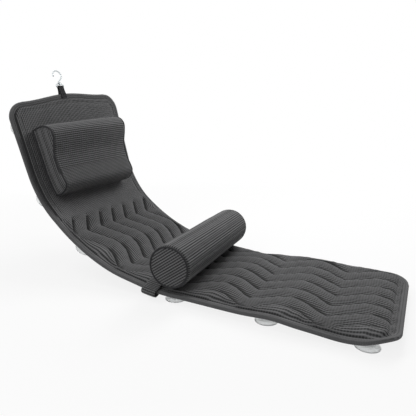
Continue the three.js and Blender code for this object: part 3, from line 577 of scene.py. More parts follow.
def add_up(tree, *layers):
    """The sum of some patterns, each times its share."""
    total = 0.0
    for pattern, share in layers:
        total = add_node(tree, "Math", pattern, share, total, operation="MULTIPLY_ADD")
    return total


def finish_cloth(tree, colour, shade, height, light, dark, depth, **shader):
    """A cloth's surface: the shade takes it from the light share of its colour to the dark one, and the
    height gives it a relief of a real depth."""
    tones = {6: rgba(colour, light), 7: rgba(colour, dark)}
    mixed = add_node(tree, "Mix", shade, at=tones, out=2, data_type="RGBA")
    bump = add_node(tree, "Bump", Height=height, Distance=depth, Strength=0.9)
    surface = add_node(tree, "BsdfPrincipled", Base_Color=mixed, Normal=bump, **shader)
    add_node(tree, "OutputMaterial", surface)


def rgba(colour, share=1.0):
    return (*(c * share for c in colour), 1.0)


def seen_itself(tree):
    """1 for what the camera sees straight, mirrored or through clear plastic, and 0 for the light."""
    seen = 0.0
    for way in ("Camera", "Glossy", "Transmission"):
        ray = add_node(tree, "LightPath", out=f"Is {way} Ray")
        seen = add_node(tree, "Math", seen, ray, operation="MAXIMUM")
    return seen


# Warp-knitted polyester spacer mesh: matt yarn in ribs along the cloth, with open holes in the grooves
# between them. It looks dull and soft; the grooves and the holes are painted darker as painted shade, the
# holes almost black.
def spacer_mesh(name, colour, rib_pitch, across, groove, relief, sewn=False):
    material, tree, place = new_cloth(name)
    ribs = add_node(tree, "TexWave", Vector=place, Scale=BAND / rib_pitch, Distortion=0.25, Detail=0.0,
                    out="Fac", bands_direction=across)
    # The real holes are about 2 mm apart, too fine to show, so they are drawn about a rib's pitch apart.
    hole_pitch = rib_pitch * 1.15
    threads = add_node(tree, "TexWave", Vector=place, Scale=BAND / hole_pitch, Distortion=0.6, Detail=0.0,
                       out="Fac", bands_direction="X" if across == "Y" else "Y")
    grooves = add_node(tree, "Math", 1.0, ribs, operation="SUBTRACT")
    gaps = add_node(tree, "Math", 1.0, threads, operation="SUBTRACT")
    holes = add_node(tree, "Math", grooves, gaps, operation="MULTIPLY")
    lint = add_node(tree, "TexNoise", Vector=place, Scale=MESH_LINT, Detail=4.0)
    # Painted shade: the grooves and the holes are darker than the ribs.
    layers = [(grooves, groove), (holes, 0.7), (lint, 0.3)]
    if sewn:
        # Dark thread in the seams, and painted shade beside them where little light gets in, widest on the
        # far side of each seam
        shade_from_seam = add_node(tree, "UVMap", uv_map=SEAM_SHADE_MAP)
        shade_from_seam = add_node(tree, "SeparateXYZ", shade_from_seam)
        seam_thread_and_shade = add_node(tree, "MapRange", Value=shade_from_seam, From_Min=0.0005, From_Max=0.0052, To_Min=1.2,
                          To_Max=0.0)
        layers.append((seam_thread_and_shade, 1.0))
    height = add_up(tree, (ribs, 1.0), (holes, -0.6))
    finish_cloth(tree, colour, add_up(tree, *layers), height, light=1.7, dark=0.25, depth=relief,
                 Roughness=0.92, Sheen_Weight=0.12, Sheen_Roughness=0.5, Specular_IOR_Level=0.25)
    return material


# Knitted polyester binding tape: fine cords across the tape and two rows of stitches near its inner edge,
# which is turned in and painted dark as painted shade. The grooves between the cords are painted a little
# darker as painted shade too. It is smoother and a little more even than the mesh.
def binding_tape(name, colour, stitch_at):
    material, tree, place = new_cloth(name)
    in_tape = add_node(tree, "SeparateXYZ", place, out="Y")
    cords = add_node(tree, "TexWave", Vector=place, Scale=BAND / TAPE_CORD, Distortion=0.3, Detail=0.0,
                     out="Fac")
    off_row = in_tape
    for middle in (stitch_at, ROW_OFF):
        off_row = add_node(tree, "Math", off_row, middle, operation="SUBTRACT")
        off_row = add_node(tree, "Math", off_row, operation="ABSOLUTE")
    row = add_node(tree, "Math", off_row, ROW_HALF, operation="LESS_THAN")
    rim = add_node(tree, "Math", in_tape, stitch_at + RIM_OFF, operation="GREATER_THAN")
    # Stitches are 3 mm long in the real tape and 6 mm here, so that they show.
    dashes = add_node(tree, "TexWave", Vector=place, Scale=BAND / TAPE_STITCH, out="Fac")
    dashes = add_node(tree, "Math", dashes, 0.3, operation="ADD")
    stitches = add_node(tree, "Math", row, dashes, operation="MULTIPLY")
    grooves = add_node(tree, "Math", 1.0, cords, operation="SUBTRACT")
    lint = add_node(tree, "TexNoise", Vector=place, Scale=TAPE_LINT, Detail=3.0)
    # Painted shade in the grooves between the cords and on the turned-in rim, beside the dark stitches
    shade = add_up(tree, (grooves, 0.25), (stitches, 0.7), (rim, 0.6), (lint, 0.3))
    height = add_up(tree, (cords, 1.0), (row, -1.6))
    finish_cloth(tree, colour, shade, height, light=1.25, dark=0.3, depth=0.0003, Roughness=0.85,
                 Sheen_Weight=0.1, Specular_IOR_Level=0.3)
    return material


# Piping: a cord in a bias strip of woven polyester. It is the darkest cloth, with a faint slant of the
# weave.
def piping_cloth(name, colour):
    material, tree, place = new_cloth(name)
    weave = add_node(tree, "TexWave", Vector=place, Scale=BAND / PIPING_THREAD, Distortion=0.3,
                     Detail=0.0, out="Fac", bands_direction="DIAGONAL")
    finish_cloth(tree, colour, weave, weave, light=1.3, dark=0.4, depth=0.0002, Roughness=0.8,
                 Specular_IOR_Level=0.3)
    return material


# Brushed knit backing: a flat close knit in fine rows, with a slight nap that is lighter than the ground.
def backing_knit(name, colour):
    material, tree, place = new_cloth(name)
    rows = add_node(tree, "TexWave", Vector=place, Scale=BAND / BACKING_ROW, Distortion=0.8, Detail=0.0,
                    out="Fac", bands_direction="Y")
    nap = add_node(tree, "TexNoise", Vector=place, Scale=BACKING_NAP, Detail=3.0)
    pile = add_up(tree, (rows, 0.5), (nap, 0.5))
    finish_cloth(tree, colour, pile, pile, light=0.6, dark=1.3, depth=0.0003, Roughness=0.95,
                 Sheen_Weight=0.2, Specular_IOR_Level=0.2)
    return material


# Hook tape and loop tape of nylon: rows of tiny stiff hooks or a dense fuzz. The tufts' tops are painted
# lighter as painted highlights, and the gaps between them darker as painted shade.
def grip_tape(name, colour, tufts_per_metre):
    material, tree, place = new_cloth(name)
    gaps = add_node(tree, "TexVoronoi", Vector=place, Scale=tufts_per_metre, Randomness=0.35,
                    out="Distance")
    tufts = add_node(tree, "Math", 1.0, gaps, operation="SUBTRACT")
    # Painted highlights on the tufts and painted shade in the gaps between them
    finish_cloth(tree, colour, gaps, tufts, light=1.6, dark=0.4, depth=0.0008, Roughness=0.6,
                 Specular_IOR_Level=0.4)
    return material


# Polypropylene webbing: flat ribs of filament yarn along the band in a chevron weave. It is almost black
# and dull, and the ribs show as fine lines, with painted shade in the grooves between them.
def webbing_weave(name, colour):
    material, tree, place = new_cloth(name)
    cords = add_node(tree, "TexWave", Vector=place, Scale=BAND / WEB_CORD, out="Fac", bands_direction="Y")
    slant = add_node(tree, "TexWave", Vector=place, Scale=BAND / WEB_SLANT, out="Fac",
                     bands_direction="DIAGONAL")
    height = add_up(tree, (cords, 1.0), (slant, 0.5))
    # Painted shade: the lower the weave, the darker.
    shade = add_node(tree, "Math", height, -0.66, 1.0, operation="MULTIPLY_ADD")
    finish_cloth(tree, colour, shade, height, light=1.3, dark=0.35, depth=0.0003, Roughness=0.75,
                 Specular_IOR_Level=0.2)
    return material


# Clear moulded plastic: soft vinyl for the cups, hard polycarbonate for the loop and the hook. The faint
# unevenness of the mould shows in its highlights.
def clear_plastic(name, tint, roughness, ior, flow_per_metre, clearness):
    material, tree = new_material(name)
    place = add_node(tree, "TexCoord", out="Object")
    flow = add_node(tree, "TexNoise", Vector=place, Scale=flow_per_metre, Detail=2.0)
    bump = add_node(tree, "Bump", Height=flow, Distance=0.0004, Strength=0.5)
    surface = add_node(tree, "BsdfPrincipled", Base_Color=rgba(tint), Normal=bump, Roughness=roughness,
                       IOR=ior, Transmission_Weight=clearness)
    add_node(tree, "OutputMaterial", surface)
    return material


# Seamless paper on the floor, near white, without gloss. The camera sees it lighter than it lights, and
# away from the object as white as the backdrop.
def stage_paper(name, colour):
    material, tree = new_material(name)
    grain = add_node(tree, "TexNoise", Scale=PAPER_GRAIN)
    bump = add_node(tree, "Bump", Height=grain, Distance=0.0001)
    paper = add_node(tree, "BsdfPrincipled", Base_Color=rgba(colour), Normal=bump, Roughness=1.0,
                     Specular_IOR_Level=0.0)
    white = add_node(tree, "Emission", Strength=1.0)
    place = add_node(tree, "NewGeometry", out="Position")
    away = add_node(tree, "VectorMath", place, operation="LENGTH", out="Value")
    near, far = PAPER_FADE
    lighter = add_node(tree, "MapRange", Value=away, From_Min=near, From_Max=far, To_Min=PAPER_NEAR,
                       To_Max=1.0)
    share = add_node(tree, "Math", seen_itself(tree), lighter, operation="MULTIPLY")
    add_node(tree, "OutputMaterial", add_node(tree, "MixShader", share, paper, white))
    return material


def once(maker, name, *values, **named):
    """The material of that name, made the first time that a piece asks for it."""
    return bpy.data.materials.get(name) or maker(name, *values, **named)


def mat_mesh(scene, name, sewn):
    return once(spacer_mesh, name, scene.bath_colours.quilt, scene.bath_mat.rib_pitch, "Y", groove=0.65,
                relief=0.0009, sewn=sewn)


def cover_mesh(scene, name, across):
    return once(spacer_mesh, name, scene.bath_colours.cover, scene.bath_pillow.rib_pitch, across,
                groove=0.75, relief=0.0003)


def clear_hard(scene):
    return once(clear_plastic, "clear_polycarbonate", scene.bath_colours.fitting, roughness=0.06, ior=1.58,
                flow_per_metre=HARD_FLOW, clearness=0.92)


# Pieces

ENDS = (("near", -1), ("far", 1))


def finish_piece(piece, body, slot, *nodes):
    """Lets a piece ride on its body in place of its solids."""
    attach(outward(piece), body)
    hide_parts(*nodes)


def finish_bending(piece, surface, slot, *nodes, reach=0.05):
    """Turns a piece's faces outward, bakes its place into its mesh, and hides the solids that it stands
    for.
    """
    fold = surface.size.quilt_from
    seat_end, back_end = (tuple(surface.place(fold + way, 0, 0)) for way in (reach, -reach))
    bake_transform(outward(piece))
    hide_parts(*nodes)


# How finely the mat is divided: from row to row of the pad and of its underside, and across a channel and
# the border
PAD_STEP, UNDERSIDE_STEP, CHANNEL_CELLS, BORDER_CELLS = 0.0034, 0.007, 14, 5
# How far the pad's side is inside the mat's outline
PAD_INSET = 0.0015
# The ribs run straight again within this reach of the tape.
RIBS_STRAIGHTEN = 0.03
# A channel narrower than this share of the seams' pitch is less full.
FULL_CHANNEL = 0.7


def mat_grid(surface, row_step):
    """Places on the mat for a grid whose columns follow the seams: along, across, the place in the channel
    from -1 to 1, the channel's width, and the place across as it was before sewing."""
    size, half = surface.size, surface.half
    rows = np.linspace(0, size.length, int(size.length / row_step))
    one = np.ones(len(rows))
    lines = surface.seams(rows)
    groove, edge = lines[-1, 0], half - PAD_INSET
    cell = (1 - np.cos(np.linspace(0, math.pi, CHANNEL_CELLS + 1)[:-1])) / 2
    columns = [(v, -1, 0) for v in np.linspace(-edge, -groove, BORDER_CELLS + 1)[:-1]]
    for left, right in zip(lines, lines[1:]):
        columns += [(left + v * (right - left), 2 * v - 1, right - left) for v in cell]
    columns += [(v, 1, 0) for v in np.linspace(groove, edge, BORDER_CELLS + 1)]
    y, across, wide = (np.stack([part * one for part in parts], 1) for parts in zip(*columns))
    s = np.broadcast_to(rows[:, None], y.shape)
    flat = y - surface.wave(s) * np.clip((groove - np.abs(y)) / RIBS_STRAIGHTEN, 0, 1)
    # At its corners the mat's outer columns draw in.
    fixed = half - size.foot_corner
    outer = np.clip(np.abs(y) - fixed, 0, None) / (half - fixed)
    drawn_in = np.sign(y) * (fixed + outer * (surface.half_at(s) - fixed))
    y = np.where(np.abs(y) > fixed, drawn_in, y)
    near_head = np.clip(1 - s / size.head_corner, 0, 1)
    return s - surface.arch(y) * near_head, y, across, wide, flat


# From where to where the channels fill, flatten to the foot seam, and the plain part's edge line ends,
# beside the places where the seams start and end
CHANNELS_FILL, CHANNELS_FLATTEN, PLAIN_ENDS = (-0.006, 0.05), (-0.014, 0.004), (-0.03, 0.0)
# How much a crest leans to the far side, as a share, and how deep a seam is where it is pulled in least
CREST_LEAN, LEAST_PULL, PULL_CHANGE = 0.3, 0.3, 0.35
# The small slack folds beside the seams, and the slow swells of the cloth
FOLD_SIZE, FOLD_HEIGHT = 0.013, 0.0014
SWELL_SIZE, SWELL_HEIGHT = 0.06, 0.0012
# A line of stitches: its half width, its depth at the foot and on the plain part, and there its place
STITCH_LINE, FOOT_LINE_DEPTH = 0.0035, 0.004
PLAIN_LINE_DEPTH, PLAIN_LINE_IN = 0.0022, 0.016
# Beside the tape the pad first stays as high as the tape, and then may go lower by this much.
TAPE_SIDE_DROP, TAPE_SIDE = 0.0046, (0.004, 0.024)
# How far the pad goes in under the tape, and how long its slope down to there is
UNDER_TAPE, TAPE_SLOPE = 0.001, 0.006
# The painted shade beside the seams, as their cloth's map has it: shares on the two sides of a seam, and
# how far off the map puts cloth where there is no thread
NEAR_SHADE_SHARE, FAR_SHADE_SHARE = 1.3, 0.4
NO_SEAM, LOOSE_SEAM, NO_STITCH, BESIDE_TAPE = 0.02, 0.004, 0.006, (0.004, 0.014)
# The mesh's ribs give way to the seams by this share.
RIBS_GIVE = 0.65


class BATHMAT_OT_pad(bpy.types.Operator):
    """Makes the quilted pad of the mat, in one piece from head to foot"""

    bl_idname = "bath_mat.pad"
    bl_label = "Quilted pad"

    def execute(self, context):
        scene = context.scene
        surface = MatSurface(scene.bath_mat)
        size = surface.size
        s, y, across, wide, flat = mat_grid(surface, PAD_STEP)
        from_start, from_end = s - size.quilt_from, s - size.quilt_to
        past_tape = surface.edge_distance(s, y) - size.tape_width + UNDER_TAPE
        rises = ramp(from_start, *CHANNELS_FILL)
        cuts = surface.sewn(s)
        before_end = 1 - ramp(from_end, *CHANNELS_FLATTEN)
        on_plain = 1 - ramp(from_start, *PLAIN_ENDS)
        # A seam is pulled in most where it runs to the near side, and a crest leans to the far side.
        runs_near = ramp(-np.sin(2 * math.pi * surface.wave_share(s)), -PULL_CHANGE, PULL_CHANGE)
        pulled = LEAST_PULL + (1 - LEAST_PULL) * runs_near
        lean = across - CREST_LEAN * (1 - across * across)
        round_top = (1 - np.abs(lean) ** 2.2) ** 0.7
        fullness = np.clip(wide / (size.seam_pitch * FULL_CHANNEL), 0, 1) ** 0.6
        full = rises * fullness * (1 + before_end) / 2
        crest = size.plain_top + (size.crest_top - size.plain_top) * full
        seam = size.plain_top + (size.seam_top - size.plain_top) * cuts * pulled
        top = seam + (crest - seam) * round_top
        # Small slack folds run out from the seams, and the cloth is a little uneven.
        folds = waver(beside(s * 0.9, y * 0.35, 0.0), FOLD_SIZE) * rises * (1 - np.abs(across) ** 3)
        uneven = waver(beside(s, y, 0.0), SWELL_SIZE, 7.0)
        top = top + folds * FOLD_HEIGHT + uneven * SWELL_HEIGHT
        # The foot seam, and the plain part's soft line of stitches beside its tape
        top = top - FOOT_LINE_DEPTH * np.exp(-(from_end / STITCH_LINE) ** 2)
        beside_tape = np.exp(-((past_tape - PLAIN_LINE_IN) / STITCH_LINE) ** 2)
        top = top - PLAIN_LINE_DEPTH * on_plain * beside_tape
        # The slope up to the tape, and down under it
        top = np.maximum(top, size.tape_top - TAPE_SIDE_DROP * ramp(past_tape, *TAPE_SIDE))
        top = size.edge_top + (top - size.edge_top) * ramp(past_tape, 0, TAPE_SLOPE)
        # The painted shade is wide at the far side of a seam, where the next channel rises slowly.
        shade_from_seam = (1 - np.abs(across)) * wide / 2 * np.where(across > 0, NEAR_SHADE_SHARE, FAR_SHADE_SHARE)
        shade_from_seam = shade_from_seam + NO_SEAM * (1 - cuts) + LOOSE_SEAM * (1 - pulled)
        shade_from_seam = shade_from_seam + NO_STITCH * (1 - ramp(past_tape, *BESIDE_TAPE))
        shade_from_seam = np.minimum(shade_from_seam, np.abs(past_tape) + NO_STITCH * (1 - on_plain))
        cloth = beside(s, y + (flat - y) * RIBS_GIVE * rises)
        pad = add_slab("quilted_pad", surface.place(s, y, top), surface.place(s, y, size.base),
                       mat_mesh(scene, "spacer_mesh_mat", True), cloth)
        add_map(pad.data, SEAM_SHADE_MAP, both_faces(beside(shade_from_seam, s)))
        finish_bending(pad, surface, "quilted_mesh", "seat_pad", "back_pad")
        return {"FINISHED"}


# The underside cloth: its height at the tape, its thickness, and how far it hangs under a channel. It
# hangs less under the plain part, and comes up to the tape within a short reach.
UNDERSIDE_AT_TAPE, UNDERSIDE_THICKNESS, UNDERSIDE_HANG = 0.0003, 0.0009, 0.0014
PLAIN_HANG, UNDERSIDE_REACH = 0.4, 0.008


class BATHMAT_OT_underside(bpy.types.Operator):
    """Makes the cloth of the mat's underside, which the seams go through"""

    bl_idname = "bath_mat.underside"
    bl_label = "Underside cloth"

    def execute(self, context):
        scene = context.scene
        surface = MatSurface(scene.bath_mat)
        size = surface.size
        s, y, across, wide, _ = mat_grid(surface, UNDERSIDE_STEP)
        fullness = np.clip(wide / (size.seam_pitch * FULL_CHANNEL), 0, 1)
        quilted = surface.sewn(s)
        inside = ramp(surface.edge_distance(s, y) - size.tape_width, 0, UNDERSIDE_REACH)
        puff = (1 - np.abs(across) ** 2) * fullness * quilted + (1 - quilted) * PLAIN_HANG
        low = UNDERSIDE_AT_TAPE - UNDERSIDE_HANG * puff * inside
        material = once(backing_knit, "brushed_knit_backing", scene.bath_colours.backing)
        under = add_slab("underside_cloth", surface.place(s, y, low + UNDERSIDE_THICKNESS),
                         surface.place(s, y, low), material, beside(s, y))
        finish_bending(under, surface, "backing_cloth", "seat_backing", "back_backing")
        return {"FINISHED"}


def outline_stations(surface, step=0.004):
    """The mat's outline as points and inward directions, both along and across it, in a closed loop."""
    size, half = surface.size, surface.half
    head, foot, end = size.head_corner, size.foot_corner, size.length

    def count(way):
        return max(2, int(way / step))

    quarter = np.linspace(0, math.pi / 2, count(head * math.pi / 2) + 1)[1:-1]

    def corner(side, ahead, middle, radius):
        out = beside(ahead * np.sin(quarter), side * np.cos(quarter))
        return np.concatenate([radius * out + (middle, side * (half - radius)), -out], -1)

    def side_run(side):
        run = beside(np.linspace(head, end - foot, count(end)), side * half, 0, -side)
        to_head, to_foot = corner(side, -1, head, head), corner(side, 1, end - foot, foot)
        return np.concatenate([to_head[::-1], run, to_foot])

    foot_y = np.linspace(foot - half, half - foot, count(2 * half))
    head_y = np.linspace(half - head, head - half, count(2 * half))
    foot_end, head_end = beside(end, foot_y, -1, 0), beside(-surface.arch(head_y), head_y, 1, 0)
    loop = np.concatenate([side_run(-1), foot_end, side_run(1)[::-1], head_end])
    return loop[:, :2], loop[:, 2:]


# The tape's fold is fuller in some places than in others, by this share. Its stitches lie in from its
# inner edge.
TAPE_SWELL, TAPE_SWELL_SIZE = 0.06, 0.02
STITCHES_IN = 0.0045


class BATHMAT_OT_edge_tape(bpy.types.Operator):
    """Makes the tape that is folded over the mat's edge and sewn down"""

    bl_idname = "bath_mat.edge_tape"
    bl_label = "Edge tape"

    def execute(self, context):
        scene = context.scene
        surface = MatSurface(scene.bath_mat)
        size = surface.size
        points, inwards = outline_stations(surface)
        outside = self.section(size)
        inside = offset_line(outside, size.tape_thickness)
        inwards_by, height = np.concatenate([outside, inside[::-1]]).T
        way, run = way_along(outside), way_along(points)
        swell = 1 + TAPE_SWELL * waver(beside(run, 0.0, 0.0), TAPE_SWELL_SIZE, 3.0)[:, None]
        middle = (size.tape_top + size.tape_bottom) / 2
        height = middle + (height - middle) * np.where(height > middle, swell, 1)
        place = points[:, None] + inwards[:, None] * inwards_by[None, :, None]
        rings = surface.place(place[..., 0], place[..., 1], height)
        material = once(binding_tape, "knitted_binding_tape", scene.bath_colours.tape,
                        way[-1] - STITCHES_IN)
        tape = add_piece("edge_tape", rings, looped(rings), material,
                         beside(run[:, None], np.concatenate([way, way[::-1]])))
        finish_bending(tape, surface, "edging", "seat_binding", "back_binding")
        return {"FINISHED"}

    def section(self, size):
        """The tape's outer face from its lower edge round to its upper one: in from the outline, and up."""
        top, bottom, wide = size.tape_top, size.tape_bottom, size.tape_width
        middle, radius = (top + bottom) / 2, (top - bottom) / 2
        under = [(wide, bottom), (wide * 0.6, bottom), (radius, bottom)]
        fold = [(radius * (1 - math.sin(a)) * 0.75, middle - radius * math.cos(a))
                for a in np.linspace(0.3, math.pi - 0.3, 9)]
        over = [(radius * 0.9, top - 0.0002), (wide * 0.45, top), (wide * 0.7, top - 0.0003),
                (wide * 0.88, top - 0.0012), (wide - 0.0005, top - 0.0014), (wide + 0.0008, top - 0.0026)]
        return np.array(under + fold + over)


# A cup from the middle of its hollow, round its rim and up its stem to the button: shares of its radius,
# and heights over the floor
CUP_PROFILE = [
    (0.0, 0.0052), (0.3, 0.0046), (0.6, 0.0032), (0.8, 0.0014), (0.93, 0.0), (1, 0.0), (1, 0.0007),
    (0.985, 0.0013), (0.9, 0.0022), (0.78, 0.004), (0.62, 0.0066), (0.46, 0.0092), (0.32, 0.0108),
    (0.22, 0.0118), (0.19, 0.0132), (0.19, 0.0154), (0.24, 0.0159), (0.31, 0.0161), (0.31, 0.0174),
    (0.28, 0.0177), (0.0, 0.0177),
]
CUP_MIDDLE = 0.0004


class BATHMAT_OT_cups(bpy.types.Operator):
    """Makes the clear suction cups, three in a row"""

    bl_idname = "bath_mat.cups"
    bl_label = "Suction cups"

    def execute(self, context):
        scene = context.scene
        surface, cup = MatSurface(scene.bath_mat), scene.bath_cups
        size = surface.size
        material = once(clear_plastic, "clear_vinyl", scene.bath_colours.clear, roughness=0.3, ior=1.53,
                        flow_per_metre=VINYL_FLOW, clearness=0.88)
        points, faces = turned([(max(cup.radius * share, CUP_MIDDLE), height - size.cup_height)
                                for share, height in CUP_PROFILE], 40)
        reach = surface.half - cup.side_margin
        for row, share in enumerate(cup.rows):
            s = size.length * share
            body = "back" if s < size.quilt_from else "seat"
            for side, y in (("near", -reach), ("middle", 0.0), ("far", reach)):
                name = f"cup_{row + 1}_{side}"
                placed = moved(points, surface.frame_at(s, y))
                made = add_piece(f"suction_{name}", placed, faces, material)
                finish_piece(made, body, "suction_cup", name)
        return {"FINISHED"}


# Where the strips lie, as shares of the pillow's height, and each tape's height over the mat's underside
STRIP_PLACES = (0.18, 0.6)
STRIP_TAPES = (("mat", 0.0123, "back", "nylon_hook_tape", 700.0),
               ("pillow", 0.01425, "head_pillow", "nylon_loop_tape", 1300.0))
STRIP_THICKNESS, STRIP_RIM_DROP = 0.0015, 0.0004
STRIP_CORNER = 0.004


class BATHMAT_OT_strips(bpy.types.Operator):
    """Makes the hook-and-loop strips that hold the pillow on the mat"""

    bl_idname = "bath_mat.strips"
    bl_label = "Hook-and-loop strips"

    def execute(self, context):
        scene = context.scene
        surface, size = MatSurface(scene.bath_mat), scene.bath_pillow
        half_long, half_wide = size.strip_length / 2, size.strip_width / 2
        across = np.linspace(-half_long, half_long, 49)[:, None]
        along = np.linspace(-half_wide, half_wide, 11)[None]
        past = np.clip(np.abs(across) - (half_long - STRIP_CORNER), 0, STRIP_CORNER)
        narrow = 1 - (STRIP_CORNER - np.sqrt(STRIP_CORNER**2 - past**2)) / half_wide
        rim = np.maximum(np.abs(across) / half_long, np.abs(along) / half_wide)
        thick = STRIP_THICKNESS - STRIP_RIM_DROP * ramp(rim, 0.86, 1.0)
        y = across + size.offset
        for number, share in enumerate(STRIP_PLACES):
            s = size.top_at + size.height * share + along * narrow
            for part, low, body, cloth, tufts in STRIP_TAPES:
                name = f"{part}_strip_{number + 1}"
                material = once(grip_tape, cloth, scene.bath_colours.grip, tufts)
                made = add_slab(f"grip_{name}", surface.place(s, y, low + thick),
                                surface.place(s, y, low), material, beside(along, across))
                finish_piece(made, body, "hook_and_loop", name)
        return {"FINISHED"}


# The pillow's front, from the top: shares of its height and of its thickness
PILLOW_FRONT = [(0, 0), (-0.01, 0.3), (0, 0.62), (0.05, 0.88), (0.14, 1), (0.25, 0.92), (0.42, 0.72),
                (0.6, 0.7), (0.78, 0.75), (0.9, 0.74), (0.965, 0.62), (1, 0.38), (0.985, 0.12), (0.95, 0)]
# Corners to a rib, and how a cover's surface draws in towards its piping
RIB_CELLS = 8
WELT_GAP = 0.0003
RIBS_FADE = (0.004, 0.011)
SLACK_HEIGHT, PILLOW_SLACK, ROLL_SLACK = 0.0008, 0.05, 0.07
# The pillow's cover draws in to its piping within a reach, and its stitches pull a line beside that.
DRAWN_IN, DRAW_REACH = 0.0016, 0.004
STITCH_DENT, STITCH_DENT_AT, STITCH_DENT_WIDTH = 0.0009, 0.0075, 0.0016
# Where the ribs begin and end on the pillow's front, from its top and to its foot
FRONT_STARTS, FRONT_ENDS = 0.02, 0.012
# How deep an end panel lies inside the pillow's width, and how far it bulges again
PANEL_IN, PANEL_BULGE = 0.0022, 0.0026


def pillow_front(size, count):
    return smooth_line([(size.top_at + size.height * down, size.foot + size.thickness * out)
                        for down, out in PILLOW_FRONT], count)


def pillow_outline(size, front_count, back_count):
    """The pillow seen from the side: down its front and back up, along the mat and out of it."""
    front = pillow_front(size, front_count)
    back = np.linspace(front[-1], front[0], back_count + 2)[1:-1]
    return np.concatenate([front, back])


def pillow_points(surface, size, outline, y):
    share = 2 * y / size.width
    swell = 1 + size.crown * (1 - share * share) / size.thickness
    height = size.foot + (outline[..., 1] - size.foot) * swell
    return surface.place(outline[..., 0], y + size.offset, height)


def cover_stations(half, near_end, count):
    """Places from one end of a cover to the other, closer together near its ends."""
    near_end = np.array(near_end)
    body = np.linspace(0.01 - half, half - 0.01, count)
    return np.concatenate([near_end - half, body, half - near_end[::-1]])


class BATHMAT_OT_pillow(bpy.types.Operator):
    """Makes the head pillow: its cover, the panels at its ends and the piping between them"""

    bl_idname = "bath_mat.pillow"
    bl_label = "Head pillow"

    def execute(self, context):
        scene = context.scene
        surface, size = MatSurface(scene.bath_mat), scene.bath_pillow
        self.add_front(scene, surface, size)
        piping = once(piping_cloth, "woven_piping", scene.bath_colours.piping)
        panel = cover_mesh(scene, "spacer_mesh_panel", "Y")
        for end, side in ENDS:
            self.add_piping(surface, size, side, end, piping)
            self.add_panel(surface, size, side, end, panel)
        return {"FINISHED"}

    def add_front(self, scene, surface, size):
        way = way_along(pillow_front(size, 400))[-1]
        ribs = round(way / size.rib_pitch)
        front_count, back_count = ribs * RIB_CELLS + 1, 40
        outline = pillow_outline(size, front_count, back_count)
        back = np.linspace(0, size.height, back_count + 2)[1:-1]
        at = np.concatenate([np.linspace(0, way, front_count), way + back])
        on_front = ramp(at, 0, FRONT_STARTS) * (1 - ramp(at, way - FRONT_ENDS, way))
        grooves = (1 - rib(at, way / ribs)) * size.rib_depth * on_front
        half = size.width / 2 - 2 * size.piping - WELT_GAP
        y = cover_stations(half, [0, 0.0012, 0.003, 0.006], 36)
        from_end = half - np.abs(y)
        sunk = DRAWN_IN * (1 - ramp(from_end, 0, DRAW_REACH))
        sunk = sunk + STITCH_DENT * np.exp(-((from_end - STITCH_DENT_AT) / STITCH_DENT_WIDTH) ** 2)
        rings = []
        for place, low, ribbed in zip(y, sunk, ramp(from_end, *RIBS_FADE)):
            spots = beside(outline[:, 0], outline[:, 1], place)
            slack = waver(spots, PILLOW_SLACK, 5.0) * SLACK_HEIGHT
            line = inset_line(outline, grooves * ribbed + low - slack * on_front)
            rings.append(pillow_points(surface, size, line, place))
        cover = cover_mesh(scene, "spacer_mesh_cover", "X")
        front = add_cover("pillow_cover_front", np.array(rings), at, y, cover)
        finish_piece(front, "head_pillow", "cover_mesh", "pillow_core", "pillow_cover")

    def add_piping(self, surface, size, side, end, material):
        outline = pillow_outline(size, 150, 60)
        pipe = size.piping
        middle = size.offset + side * (size.width / 2 - pipe)
        turn = full_turn(12)
        lines = [inset_line(outline, pipe + pipe * math.cos(a)) for a in turn]
        rings = np.stack([surface.place(line[:, 0], middle + pipe * math.sin(a), line[:, 1])
                          for a, line in zip(turn, lines)], 1)
        # The cord is about 0.7 m long.
        cloth = beside(np.linspace(0, 0.7, len(outline))[:, None], turn * pipe)
        made = add_piece(f"pillow_welt_{end}", rings, looped(rings), material, cloth)
        finish_piece(made, "head_pillow", "edging", f"pillow_piping_{end}")

    def add_panel(self, surface, size, side, end, material):
        front = pillow_front(size, 141)
        back = np.linspace(front[0], front[-1], len(front))
        last = len(front) - 1
        loop = inset_line(np.concatenate([front, back[-2:0:-1]]), 2 * size.piping + WELT_GAP)
        front = loop[:last + 1]
        back = np.concatenate([loop[:1], loop[:last:-1], loop[last:last + 1]])
        # The panel bulges a little, most in its middle, and has ribs across its height.
        v = np.linspace(0, 1, 81)[:, None]
        u = np.linspace(0, 1, len(front))[:, None]
        across = back[:, None] + (front - back)[:, None] * v
        v = v.T
        bulge = np.minimum(4 * v * (1 - v), 1) * np.sqrt(np.sin(math.pi * u))
        ribs = rib(across[..., 1] - size.foot, size.rib_pitch * 1.3)
        grooves = (1 - ribs) * size.rib_depth * np.clip(bulge * 3, 0, 1)
        out = size.width / 2 - PANEL_IN + PANEL_BULGE * np.sqrt(bulge) - grooves
        outer = surface.place(across[..., 0], size.offset + side * out, across[..., 1])
        inner_y = size.offset + side * (size.width / 2 - 2 * size.piping)
        inner = surface.place(across[..., 0], inner_y, across[..., 1])
        made = add_slab(f"pillow_end_{end}", outer, inner, material, across)
        finish_piece(made, "head_pillow", "cover_mesh", f"pillow_gusset_{end}")


# The end discs' ribs rise towards the foot, and are this far apart and this deep.
DISC_SLANT = math.radians(36)
DISC_RIB_PITCH, DISC_RIB_DEPTH = 0.0076, 0.0016
# How deep a disc lies inside the roll's length, and how far it bulges again
DISC_IN, DISC_BULGE = 0.002, 0.0034
# The sleeve's round shoulders: how long they are and how far they go past the piping's inset
SHOULDER, SHOULDER_DROP = 0.009, 0.0012
SLEEVE_IN = 0.0006


def roll_matrix(surface, roll):
    """The roll's own frame: its Y runs along it, with the far end towards the head and a little up."""
    along, across, out = (Vector(v) for v in surface.directions(np.float64(roll.at)))
    level = across * math.cos(roll.yaw) - along * math.sin(roll.yaw)
    axis = level * math.cos(roll.tilt) + out * math.sin(roll.tilt)
    forward = axis.cross(out).normalized()
    lift = roll.length / 2 * math.sin(roll.tilt)
    height = surface.size.crest_top + roll.gap + roll.radius + lift
    return axes_matrix(forward, axis, forward.cross(axis), surface.place(roll.at, roll.offset, height))


